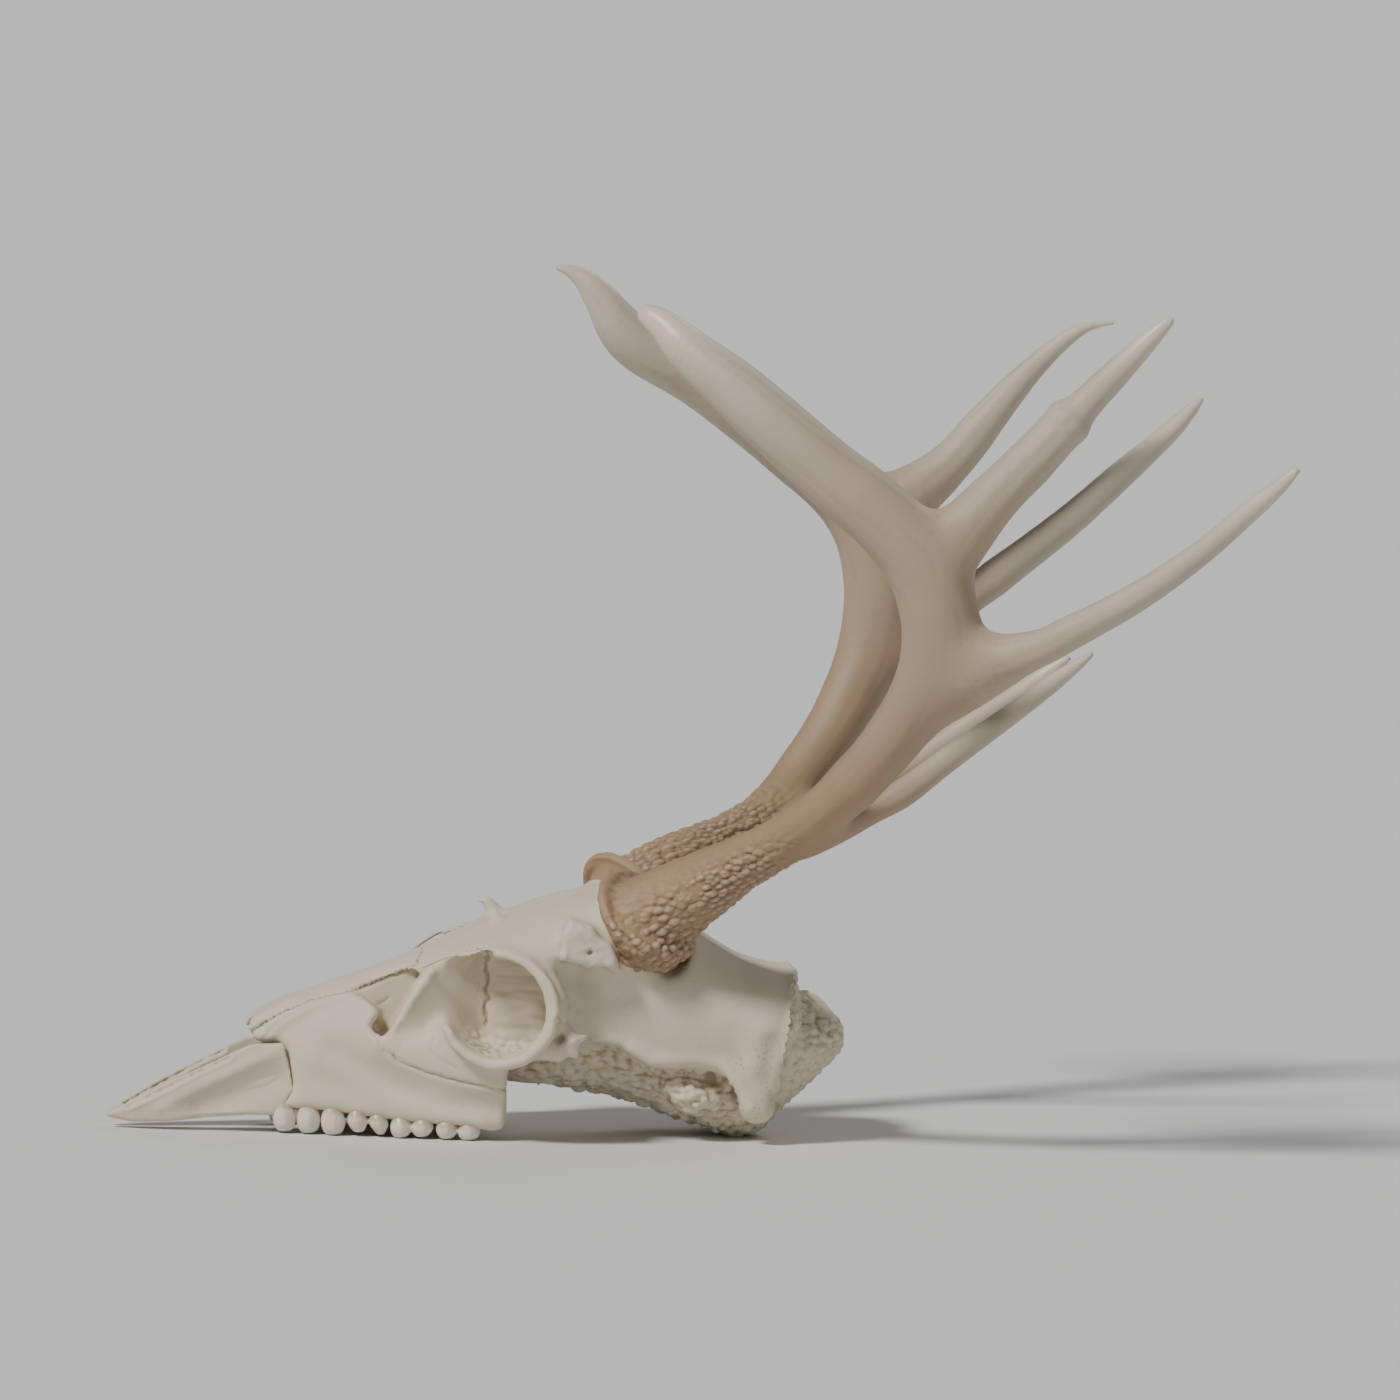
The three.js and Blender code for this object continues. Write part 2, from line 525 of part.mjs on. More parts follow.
// Part of the skull base below the temporal bones that reaches past the middle block.
function sphenoidFlank() {
  const s = SUTURE;
  return outlineOf([[183, -8], [183, 25]], [[192, 37.2]], back(s.temporalBase).slice(2),
    s.occipitalBase);
}

function premaxilla(side) {
  const rings = withSteps(PREMAXILLA, 1).map(([x, outer, top, ridge, bottom, inner]) => {
    const slope = (top - bottom) * 0.35;
    const points = [[outer - 3.4, top - 0.4], [outer - 1.2, top], [outer, ridge],
      [outer - 0.6, bottom + slope], [outer - 0.9, bottom + 1], [outer - 2.4, bottom],
      [inner + 0.6, bottom + 0.3], [inner, bottom + 1.6], [inner + 0.9, bottom + 3.2],
      [outer - 4.2, bottom + slope]];
    return points.map(([y, z]) => new THREE.Vector3(x, side * Math.max(y, 0.6), z));
  });
  const region = outlineOf([[-10, 60], [-10, -8]], back(SUTURE.premaxilla));
  return solid(loft(rings)).intersect(prism(region, ...sideBand(side, GAP / 2, 40)));
}

// ---------------------------------------------------------------- antlers
// Turned body that stands on a plane, from a profile of radii and heights.
function turned(profile, plane, lift) {
  const disc = new THREE.LatheGeometry(profile.map((p) => new THREE.Vector2(...p)), 20);
  disc.rotateX(Math.PI / 2);
  const up = new THREE.Vector3(0, 0, 1);
  disc.applyQuaternion(new THREE.Quaternion().setFromUnitVectors(up, plane.normal));
  const at = plane.point.clone().addScaledVector(plane.normal, lift);
  disc.translate(at.x, at.y, at.z);
  return solid(disc);
}

function burr({ point, normal }) {
  const { radius, height, rise } = BURR;
  const up = new THREE.Vector3(0, 0, 1).addScaledVector(normal, -normal.z).normalize();
  const centre = { point: point.clone().addScaledVector(up, rise), normal };
  return turned([[0, 0], [radius * 0.72, 0], [radius * 0.95, height * 0.2],
    [radius, height * 0.5], [radius * 0.93, height * 0.8], [radius * 0.78, height],
    [0, height]], centre, GAP / 2);
}

// Room that the skull leaves for the burr and for the first stretch of the beam.
function burrClearance(plane) {
  const wide = BURR.radius + BURR.rise + GAP * 2;
  const top = BURR.height + GAP * 2;
  return turned([[0, 0], [wide, 0], [wide, top], [BEAM_CLEARANCE, top + 3],
    [BEAM_CLEARANCE, 45], [0, 45]], plane, -GAP / 2);
}

// All that lies past the root plane of a tine, with the clear cut before it.
function tineSpace(rows, station) {
  const root = stationPlane(rows, station);
  const start = root.point.clone().addScaledVector(root.normal, -GAP);
  return beyond(start, root.normal);
}

function antler(name, side) {
  const rows = Object.fromEntries(Object.entries(ANTLERS[name])
    .map(([key, points]) => [key, side > 0 ? points : mirrored(points)]));
  const base = burrPlane(name, side);
  const top = base.point.clone().addScaledVector(base.normal, BURR.height + GAP / 2);
  const parts = {};
  let beam = tube(rows.beam, BEAM_SIDES, 2).intersect(beyond(top, base.normal, 900));
  beam = beam.add(tube(rows.web, TINE_SIDES, 1).subtract(tineSpace(rows.second, TINE_ROOT.second)));
  Object.entries(TINE_ROOT).forEach(([tine, station]) => {
    const root = stationPlane(rows[tine], station);
    const shaft = tube(rows[tine], TINE_SIDES, 2);
    const nearPlane = beyond(root.point, root.behind);
    beam = beam.add(shaft.intersect(nearPlane));
    parts[`tine_${tine}`] = shaft.intersect(beyond(root.point, root.normal));
  });
  const lower = stationPlane(rows.beam, BEAM_CUTS[name].lower);
  const fork = stationPlane(rows.beam, BEAM_CUTS[name].fork);
  parts.burr = burr(base);
  parts.beam_lower = beam.intersect(beyond(lower.point, lower.behind));
  const rest = beam.intersect(beyond(lower.point, lower.normal));
  parts.beam_middle = rest.intersect(beyond(fork.point, fork.behind));
  parts.beam_tip = rest.intersect(beyond(fork.point, fork.normal));
  return Object.entries(parts).map(([part, body]) => [`${part}_${name}`, body]);
}

// ---------------------------------------------------------------- the group
function meshOf(name, body, material) {
  const { vertProperties, triVerts } = body.getMesh();
  const geometry = new THREE.BufferGeometry();
  geometry.setAttribute('position', new THREE.BufferAttribute(vertProperties, 3));
  geometry.setIndex(new THREE.BufferAttribute(triVerts, 1));
  const mesh = new THREE.Mesh(geometry, material);
  mesh.name = name;
  return mesh;
}

function materialFor(name) {
  if (/^(tine|beam_tip)/.test(name)) return MATERIAL.tine;
  if (/^(beam|burr)/.test(name)) return MATERIAL.antler;
  if (/^(sphenoid|occipital)/.test(name)) return MATERIAL.base;
  if (/^(nasal|maxilla|premaxilla|lacrimal|jugal)/.test(name)) return MATERIAL.face;
  return MATERIAL.bone;
}

const skull = new THREE.Group();
const pieces = skullBones();
Object.entries(SIDES).forEach(([name, side]) => {
  pieces.push([`premaxilla_${name}`, premaxilla(side)]);
  pieces.push(...antler(name, side));
});
pieces.forEach(([name, body]) => skull.add(meshOf(name, body, materialFor(name))));

// The origin is under the middle of the whole skull, at the level it rests on.
skull.rotation.y = REST_TILT;
const box = new THREE.Box3().setFromObject(skull, true);
skull.position.set(-(box.min.x + box.max.x) / 2, -(box.min.y + box.max.y) / 2, -box.min.z);

export default skull;
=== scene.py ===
"""Skull of a white-tailed deer buck with both antlers, as dry bone on a studio floor.

The skull bones, premaxillae, cheek teeth and antlers are separate pieces. Shapes are
given in millimetres in the skull's own frame: X from the front of the premaxillae to the
back of the head, Y across with the deer's left negative, Z up from the palate. The skull
rests with that frame tilted a little, nose down.
"""

from itertools import product
import math

import bmesh
import bpy
import numpy as np
from mathutils import Matrix, Vector
from mathutils.bvhtree import BVHTree


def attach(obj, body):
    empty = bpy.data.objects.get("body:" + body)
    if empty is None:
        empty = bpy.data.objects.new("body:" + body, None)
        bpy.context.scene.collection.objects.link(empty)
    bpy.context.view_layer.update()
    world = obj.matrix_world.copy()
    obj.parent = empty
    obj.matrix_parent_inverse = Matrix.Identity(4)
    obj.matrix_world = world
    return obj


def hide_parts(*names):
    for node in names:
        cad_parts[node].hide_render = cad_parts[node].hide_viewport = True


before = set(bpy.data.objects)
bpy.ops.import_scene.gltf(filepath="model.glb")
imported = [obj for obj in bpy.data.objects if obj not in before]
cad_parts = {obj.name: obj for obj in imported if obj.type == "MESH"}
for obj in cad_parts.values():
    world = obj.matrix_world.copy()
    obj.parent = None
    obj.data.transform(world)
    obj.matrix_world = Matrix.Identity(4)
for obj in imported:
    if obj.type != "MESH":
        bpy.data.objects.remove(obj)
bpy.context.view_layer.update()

bl_info = {
    "name": "Deer Skull",
    "version": (1, 0, 0),
    "blender": (4, 5, 0),
    "location": "View3D > Sidebar > Skull",
    "description": "Builds a life-size white-tailed deer skull with antlers",
    "category": "Object",
}

# ------------------------------------------------------------------ the skull's frame
MM = 0.001
FLOOR_CLEARANCE = 0.05 * MM
REST_TILT = math.radians(-1.3)
SKULL_ORIGIN = Vector((-0.217078, 0.000015, -0.004199))
TILT_ROWS = np.array(Matrix.Rotation(REST_TILT, 3, "Y"))
ORIGIN_ROW = np.array(SKULL_ORIGIN)

SKULL_BONES = (
    "nasal_left", "nasal_right", "frontal_left", "frontal_right", "lacrimal_left",
    "lacrimal_right", "jugal_left", "jugal_right", "maxilla_left", "maxilla_right",
    "temporal_left", "temporal_right", "parietal", "occipital", "sphenoid")
ANTLER_NODES = ("burr", "beam_lower", "beam_middle", "beam_tip", "tine_brow", "tine_second",
                "tine_third")
SIDES = {"left": -1.0, "right": 1.0}
BASE_BONES = ("occipital", "sphenoid")
# Warmth of the stain, size and amount of the pores and height of the grain in millimetres.
BONE_LOOKS = {"Bone": (0.4, 1.0, 0.35, 0.16), "Rough bone": (1.0, 1.7, 0.8, 0.35)}

FUSING_SWELL = 0.35 * MM  # of the bones, so that neighbours fuse
PREMAXILLA_SWELL = 0.1 * MM
WALL_THICKNESS = 0.7 * MM
TOOTH_VOXEL = 0.36 * MM
THINNEST_RADIUS = 0.4  # of a tip, in millimetres
SHARP_EDGE = math.radians(65)

# Orbit, round an axis that looks outwards and a little towards the nose.
ORBIT_CENTRE = (146.4, 47.0, 53.2)
ORBIT_TURN = math.radians(19)
ORBIT_RADIUS = 21.3
ORBIT_SUTURE = 143.6  # where a crack runs down the orbit's inner wall
# Rim of the orbit from its lower front spur, under the eye and over to the brow:
# angle in degrees, radius, depth, thickness of the lip.
ORBIT_RIM = (
    (-160, 19.4, 0.4, 0.5), (-153, 20.3, 0.4, 1.1), (-138, 20.9, -0.5, 1.8), (-112, 21.3, -1.5, 2.2),
    (-90, 21.4, -2.5, 2.4), (-60, 21.9, -3.0, 2.4), (-30, 22.8, -3.3, 2.2), (-8, 23.6, -3.5, 1.9),
    (8, 23.6, -3.5, 1.8), (30, 22.6, -3.3, 1.9), (60, 21.6, -2.7, 1.7), (90, 21.3, -2.0, 1.6),
    (108, 21.4, -1.2, 1.6))
# Outer wall behind the rim, in the same terms.
ORBIT_WALL = (
    (-70, 21.8, 3.4, 2.2), (-50, 22.2, 4.2, 2.4), (-25, 23.0, 4.2, 2.6), (0, 24.8, 3.6, 3.0),
    (25, 24.0, 3.8, 2.8), (45, 22.8, 4.4, 2.0))
# The rim runs on to the front along the edge of the brow: x, y, z and thickness.
BROW_RIM = ((131.5, 40.2, 73.4, 1.5), (125, 34.5, 70.6, 1.4), (118, 28.5, 67.0, 1.1))
# Front wall of the orbit in side view, a plate that falls away inwards from the crest of
# the lacrimal bone, and its distance from the middle plane as a, b * x and c * z.
LACRIMAL_PLATE = (
    (103, 40.8), (124.1, 67.2), (134.4, 72.1), (141.2, 74.7), (144, 75.2), (144, 35.5),
    (141.3, 37.1), (136, 40), (131, 44), (127.5, 47.5), (121.5, 42), (114, 40))
PLATE_WIDTH = (61.5, -0.34, 0.1066)
LACRIMAL_CREST = ((103, 40.2), (113.5, 53.6), (122.4, 65))

# Lower edge of the cheek bone over the teeth, as x and z.
ALVEOLAR_EDGE = (
    (56, 14), (64, 13.5), (74, 13.2), (86, 12.2), (100, 10), (115, 8.4), (128, 7.8), (142, 6.4))
# Ridge along the lower edge of the temporal bone, down the paracondylar process.
TEMPORAL_RIDGE = (
    (180, 30, 38, 1.0), (190, 33.2, 38.6, 1.8), (198.4, 34, 36.8, 2.4), (204, 33.5, 33.2, 3.0),
    (208.5, 33, 30.9, 3.2), (224, 33, 31.8, 3.6), (232, 33.5, 31.2, 4.4), (239, 34, 27, 5.8),
    (244.6, 34, 20, 6.7), (245.9, 34, 13.2, 6.9), (245.7, 34, 9.8, 6.2), (245.7, 34, 7.2, 3.4))
# Line of that band, and line of the raised edge of the crest at the back of the skull.
TEMPORAL_LINE = ((198, 35.5), (205, 31), (213, 30.8), (221, 31.4), (232, 29.6), (238, 23.5), (242, 14))
NUCHAL_LINE = ((262, 66), (260.8, 61), (259.4, 51), (256.8, 41.5), (254, 31), (252.6, 20.4))
# Paracondylar process and the bone over it in side view: smooth among the rough bone.
PROCESS_OUTLINE = (
    (224, 36), (232.5, 27.5), (237.4, 21.5), (239.4, 13.8), (239, 9), (242, 6), (247, 5.4), (252, 6.6),
    (254, 11), (252.8, 20.4), (254.4, 32.8), (257, 42.3), (258.6, 52), (260, 63), (250, 70), (220, 66),
    (216, 40))
# Torn plate on the brow, in side view.
BROW_PLATE = (
    (169.8, 71.6), (171.4, 81.4), (173.8, 86.2), (181.6, 83.6), (188.6, 77), (190.4, 73), (193.4, 66.2),
    (190.4, 66.6), (186.6, 69.2), (178, 70.4))
# Torn cheek process: two crossed splinters, each as x, y, z and radius.
CHEEK_SPLINTERS = (
    ((168.4, 49.4, 34.4, 1.8), (173.6, 53, 40.6, 2.6), (177, 52.8, 42, 2), (180.6, 52, 43.4, 1)),
    ((175.2, 51, 34, 1.3), (174.4, 52.8, 39.4, 2.2), (173.2, 52.8, 44, 2), (172.6, 52.2, 48.6, 1.1)))
# Broad forms of the cheek and temple: height, width and line in side view.
CHEEK_FORMS = (
    (-1.5, 5.0, ((86, 35), (100.3, 27.5), (109.8, 22.4), (125, 15.5), (144, 13.5))),
    (0.9, 4.0, ((79.4, 32), (94.6, 22.6), (109.8, 15.5), (125, 10.8), (140, 9))),
    (0.8, 5.0, ((104, 37), (116, 31), (130, 25.5), (146, 22))),
    (1.3, 2.7, TEMPORAL_LINE),
    (-1.3, 4.6, ((250.6, 38), (248.4, 25))))
# Fine lines on the side of the face, in side view: depth, half width and line.
FACE_LINES = (
    (0.7, 0.55, ((107.7, 34.2), (108.8, 32), (119.5, 27.7), (132, 24.6), (152, 20.6))),
    (0.5, 0.5, ((122, 41), (121.5, 36), (125, 32.5), (131, 30))),
    (0.45, 0.5, ((104, 36), (107, 33.5), (112, 32))),
    (0.8, 0.5, ((102.6, 51), (105.8, 52.6), (107.2, 54))))
# Edge of the opening in front of the eye, and the part of it along the maxilla.
VACUITY_EDGE = (
    (98.5, 44), (102.6, 38.3), (107, 42), (120.8, 64), (113, 65.2), (102, 61.2), (94.5, 58.6), (89.5, 57),
    (95.2, 54.6), (99.4, 52), (102.3, 49.3), (98.5, 44))
MAXILLA_LIP = (
    (60, 39), (66, 45), (76, 51), (86, 55.2), (92, 56), (98, 53.6), (101.8, 49.6), (98.6, 44.4),
    (102.6, 38.6))
# Places with their reach: cheek stub, spurs, nasal tips and the front of the face opening.
CHEEK_STUB = ((173.5, 48.5, 39.5), 11.0)
DELICATE_PLACES = (CHEEK_STUB, ((147.5, 11, 86), 9.0), ((57, 5, 43), 9.0), ((100, 22, 57), 9.0))
# Small places in side view: hole in the torn plate, broken rim of the orbit, corner of the crest.
BROW_HOLE = (181.2, 74.4)
RIM_SCAR = (168.5, 50.5)
CREST_CORNER = (262.5, 63)
# Width and height of a condyle's middle. Openings of the skull base, whose rims stay smooth:
# height of the middle, half width and half height; then x of the middle, half length and half width.
CONDYLE = (12.5, 34)
SPINAL_OPENING = (39, 11.5, 10.0)
CHOANA = (164, 13.0, 9.0)
# Lines along the side of the premaxilla.
PREMAXILLA_SLIT = ((8, 12.8), (22, 19.8), (36, 27.2), (46, 31.6))
PREMAXILLA_RIDGE = ((20, 12), (44, 24.4), (68, 36.4))
PREMAXILLA_FLANK = ((36, 12), (50, 17.5), (64, 24))

# Cheek teeth: crown lobes as x, length, lowest point, distance from the middle plane, lean of
# the worn end towards the back and its bluntness.
TOOTH_LOBES = {
    "premolar_2": ((67.2, 8.8, 3.3, 13.6, 0.2, 1.0),),
    "premolar_3": ((76.3, 9.0, 2.8, 15.9, 0.0, 1.0),),
    "premolar_4": ((85.5, 9.3, 2.4, 19.1, 0.0, 1.0),),
    "molar_1": ((94.4, 8.0, 3.5, 21.4, 0.6, 0.8), (102.2, 7.9, 2.7, 23.3, 1.2, 0.62)),
    "molar_2": ((110.9, 8.2, 1.8, 25.4, -0.2, 0.95), (119.2, 8.6, 2.2, 27.2, -0.8, 0.85)),
    "molar_3": ((127.9, 8.3, 1.5, 28.9, 0.0, 0.9), (136.5, 8.9, 1.1, 29.8, -0.3, 0.95)),
}
# Profile of a crown from its neck over the worn edge: share of its height, width and ribs.
CROWN_PROFILE = (
    (0.0, 0.60, 0.0), (0.18, 0.74, 0.3), (0.34, 0.90, 0.7), (0.50, 0.99, 1.0), (0.64, 1.0, 1.0),
    (0.78, 0.94, 1.0), (0.89, 0.80, 0.9), (0.96, 0.62, 0.7), (1.0, 0.45, 0.5), (0.97, 0.34, 0.3),
    (0.92, 0.22, 0.1), (0.90, 0.12, 0.0))
OUTER_RIBS = (-2.55, -1.57, -0.59)  # angles round the crown
INNER_GROOVES = (1.0, 2.14)
TOOTH_HALF_WIDTH = 5.5
TOOTH_ROOT = 2.6  # of a crown, hidden over the lower edge of the cheek bone

# Antler centre lines with radii, from the burr outwards.
ANTLERS = {
    "left": {
        "beam": (
            (196, 27.5, 79, 18.4), (201, 31.5, 82.6, 18.8), (207, 35.4, 87.2, 16.8),
            (214.5, 40.4, 92.8, 15), (233, 56, 106, 12),
            (255, 74, 121, 10.8), (278, 94, 143, 11.4), (300, 107, 173, 13.4), (309, 112, 199, 15.5),
            (304, 114, 225, 16), (288, 114, 245, 14.5), (264, 112, 265, 12.7), (234, 106, 292, 11.3),
            (215, 98, 308, 8.8), (207, 93, 316, 6.4), (201.5, 89.6, 320, 4.9), (198, 87.6, 321.4, 3.4),
            (196.6, 86.8, 321.8, 1.8)),
        "brow": (
            (259, 74, 118, 8.5), (278, 72, 126, 7.8), (298, 68, 136, 6), (317, 62, 149, 5.2),
            (337, 56, 162, 4.6), (356, 50, 175, 3.8), (366, 47.5, 182, 2.8), (373, 45.8, 187, 1.4)),
        "second": (
            (313, 114, 194, 12), (335, 124, 193, 8.8), (354, 131, 202, 7.1), (380, 140, 217, 6.1),
            (402, 148, 233, 5.2), (420, 154, 249, 4.6), (433, 159.5, 261, 3.2), (440, 162.4, 268, 1.6)),
        "third": (
            (313, 114, 234, 13.5), (326, 116, 250, 11.6), (340, 117, 264, 9.8), (353, 118.5, 278, 9.0),
            (357.6, 119, 283, 9.6), (361.6, 119.4, 287, 6.9), (374, 121, 300, 5.8),
            (385, 122.5, 311, 4.2), (391.5, 123.4, 317.4, 3.0), (396, 124, 321.5, 1.6)),
        "web": ((298, 106.5, 169, 11.5), (320, 114.5, 185.5, 13.5), (346, 127, 198, 8)),
    },
    "right": {
        "beam": (
            (196, 27.5, 79, 18.4), (201, 31.5, 82.6, 18.6), (207.5, 35.4, 86.8, 16.6),
            (215.5, 40.4, 92.2, 15), (236, 56, 102, 11.9),
            (256, 71, 112, 10.8), (272, 86, 127, 11.3), (289, 98, 149, 12.5), (300, 107, 172, 13.5),
            (305, 111, 197, 15), (300, 112, 220, 15), (287, 111, 237, 14), (261, 108, 259.5, 13.3),
            (235, 104, 279, 12.6), (209, 99, 293, 10.5), (196.4, 96, 309.4, 6.8), (190, 94, 317, 4.6),
            (184, 92.7, 320.6, 2.6), (178.5, 91.7, 322, 1.2)),
        "brow": (
            (261, 72, 108, 8.5), (282, 68, 115, 7.8), (300, 62, 126, 6), (319, 57, 138, 5.2),
            (338, 52, 152, 4.6), (356, 47, 164, 3.8), (365, 45, 171, 2.8), (372, 43.8, 176, 1.4)),
        "second": (
            (314, 112, 178, 12), (334, 122, 187, 8.7), (355, 130, 201, 7.2), (379, 138, 218, 6.5),
            (400, 145, 235, 5.8), (418, 155, 249, 4.6), (427, 159.5, 257, 3.2), (433.4, 162.6, 263.4, 1.6)),
        "third": (
            (310, 112, 227, 14), (329.5, 114, 241, 10.3), (343.6, 116, 256.8, 7.8),
            (356.6, 117, 271.8, 6.0), (369.6, 118, 284.8, 4.4), (380.6, 119, 293, 2.9),
            (388, 119.6, 295.6, 1.8), (396, 120.2, 296.4, 1.1)),
        "web": ((289, 99, 154, 11.5), (310, 110.5, 172.5, 13.5), (340, 124, 190, 8)),
    },
}
BURR_MIDDLE = (199.5, 30.5, 81.5)
BURR_RING = 21.4  # from the beam's middle to the middle of the burr's bead
BURR_LIFT = 3.6  # of the bead over the pedicle
PEARLED_LENGTH = 95.0  # of the beam, from the burr
SHAFT_STEPS = 6  # of the smooth middle line between two rows
# Where the pearls lie, and skewed axes that keep lattice noise off the shafts' own directions.
PEARL_SIDES = {-1.0: np.array([0.3, -0.12, -1.0]), 1.0: np.array([-0.2, -0.35, 1.0])}
TURNED_AXES = np.array(Matrix.Rotation(0.7, 3, Vector((0.5, 0.3, 0.8))))
ROOT_TONES = np.array([0.0, 0.12, 0.36, 0.40])  # of beam and tines, where 1 is the colour of tips


# ------------------------------------------------------------------ settings
class SkullSettings(bpy.types.PropertyGroup):
    """Sizes and colours of the skull bones and teeth."""
    voxel: bpy.props.FloatProperty(
        name="Surface step", description="Grid step of the finished bone surface",
        default=0.85 * MM, min=0.3 * MM, unit="LENGTH", precision=5)
    suture_depth: bpy.props.FloatProperty(
        name="Suture depth", description="Depth of the seams between bones",
        default=0.28 * MM, min=0.0, unit="LENGTH", precision=5)
    lump_height: bpy.props.FloatProperty(
        name="Lump height", description="Relief of the rough bone of the skull base",
        default=0.95 * MM, min=0.0, unit="LENGTH", precision=5)
    bone_colour: bpy.props.FloatVectorProperty(
        name="Bone", description="Colour of clean, dry bone", subtype="COLOR",
        default=(0.67, 0.60, 0.475), min=0.0, max=1.0)
    # Also the colour of the painted shade in the bone's broad hollows and orbits.
    stain_and_shade_colour: bpy.props.FloatVectorProperty(
        name="Stain", description="Colour of the stain in pores and hollows", subtype="COLOR",
        default=(0.36, 0.26, 0.155), min=0.0, max=1.0)
    enamel_colour: bpy.props.FloatVectorProperty(
        name="Enamel", description="Colour of the tooth crowns", subtype="COLOR",
        default=(0.78, 0.74, 0.65), min=0.0, max=1.0)


class AntlerSettings(bpy.types.PropertyGroup):
    """Sizes and colours of the antlers."""
    voxel: bpy.props.FloatProperty(
        name="Surface step", description="Grid step of the finished antler surface",
        default=1.12 * MM, min=0.4 * MM, unit="LENGTH", precision=5)
    pearl_height: bpy.props.FloatProperty(
        name="Pearl height", description="Relief of the pearls over the burr",
        default=1.35 * MM, min=0.0, unit="LENGTH", precision=5)
    base_colour: bpy.props.FloatVectorProperty(
        name="Beam", description="Colour of the beam near the burr", subtype="COLOR",
        default=(0.30, 0.195, 0.11), min=0.0, max=1.0)
    tip_colour: bpy.props.FloatVectorProperty(
        name="Tips", description="Colour of the polished tips", subtype="COLOR",
        default=(0.70, 0.61, 0.47), min=0.0, max=1.0)


class StageSettings(bpy.types.PropertyGroup):
    """Floor and light of the studio."""
    floor_colour: bpy.props.FloatVectorProperty(
        name="Floor", description="Colour of the floor", subtype="COLOR",
        default=(0.72, 0.715, 0.70), min=0.0, max=1.0)
    key_strength: bpy.props.FloatProperty(
        name="Key light", description="Strength of the key light", default=3.0, min=0.0)


# ------------------------------------------------------------------ frame, masks and noise
def to_skull(world):
    """World points in metres as skull-frame points in millimetres."""
    return ((world - ORIGIN_ROW) @ TILT_ROWS) / MM


def to_world(points):
    """Skull-frame points in millimetres as world points in metres."""
    return (np.asarray(points, float) * MM) @ TILT_ROWS.T + ORIGIN_ROW


def smoothstep(low, high, value):
    """From 0 below low to 1 above high."""
    t = np.clip((value - low) / (high - low), 0.0, 1.0)
    return t * t * (3.0 - 2.0 * t)


def fall(low, high, value):
    """From 1 below low to 0 above high."""
    return 1.0 - smoothstep(low, high, value)


def bell(distance, width):
    """1 at no distance, fading on both sides over about a width."""
    return np.exp(-(distance / width)**2)


def lattice_value(cells, seed):
    """Random value from 0 to 1 for each whole-number cell."""
    bits = (cells[:, 0] * 374761393 + cells[:, 1] * 668265263 + cells[:, 2] * 1440670441
            + seed * 1274126177) & 0xFFFFFFFF
    bits = ((bits ^ (bits >> 13)) * 1274126177) & 0xFFFFFFFF
    return ((bits ^ (bits >> 16)) & 0xFFFF) / 65535.0


def soft_noise(points, size, seed):
    """Smooth noise from -1 to 1 whose bumps are about a size wide."""
    scaled = points / np.asarray(size, float)
    cells = np.floor(scaled).astype(np.int64)
    part = scaled - cells
    part = part * part * (3.0 - 2.0 * part)
    total = np.zeros(len(points))
    for corner in product((0, 1), repeat=3):
        weight = np.prod(np.where(corner, part, 1.0 - part), axis=1)
        total += weight * lattice_value(cells + np.array(corner), seed)
    return total * 2.0 - 1.0


def cloud_noise(points, size, seed, layers=3):
    """Soft noise with finer noise added, about -1 to 1."""
    size = np.asarray(size, float)
    total = sum(soft_noise(points, size / 2**k, seed + 17 * k) / 2**k for k in range(layers))
    return total / (2.0 - 2.0 / 2**layers)


def cell_distance(points, size, seed):
    """Distance to the nearest of scattered seeds, in sizes."""
    scaled = points / np.asarray(size, float)
    cells = np.floor(scaled).astype(np.int64)
    nearest = np.full(len(points), 9.0)
    for step in product((-1, 0, 1), repeat=3):
        there = cells + np.array(step)
        jitter = [lattice_value(there, seed + k) * 0.8 + 0.1 for k in range(3)]
        gap = np.linalg.norm(there + np.stack(jitter, axis=1) - scaled, axis=1)
        nearest = np.minimum(nearest, gap)
    return nearest


def folded(points):
    """Length, distance from the middle plane and height of each point."""
    return points[:, 0], np.abs(points[:, 1]), points[:, 2]


def side_view(points):
    """The points as seen from the side: length and height."""
    return points[:, [0, 2]]


def shaken_view(points, reach, size, seed):
    """The side view shaken by noise, which makes the lines drawn on it ragged."""
    shake = np.stack([soft_noise(points, size, seed), soft_noise(points, size, seed + 1)], axis=1)
    return side_view(points) + reach * shake


def spot(points, place, reach):
    """1 at a place in side view, fading round it over about its reach."""
    x, z = place
    return bell(np.hypot(points[:, 0] - x, points[:, 2] - z), reach)


def distance_to(points, place):
    """Distance to a place on the left and its mirror image on the right, the nearer one."""
    x, y, z = place
    length, width, height = folded(points)
    return np.sqrt((length - x)**2 + (width - y)**2 + (height - z)**2)


def sided(rows, side):
    """Rows of x, y, z and radius with y on one side of the middle plane."""
    return np.array([(x, side * y, z, radius) for x, y, z, radius in rows], float)


def line_distance(points, line):
    """Distance from points to an open line, both with the same number of axes."""
    best = np.full(len(points), 1e9)
    for start, end in zip(line[:-1], line[1:]):
        start, end = np.array(start, float), np.array(end, float)
        along = end - start
        t = np.clip((points - start) @ along / (along @ along), 0.0, 1.0)
        best = np.minimum(best, np.linalg.norm(points - start - t[:, None] * along, axis=1))
    return best


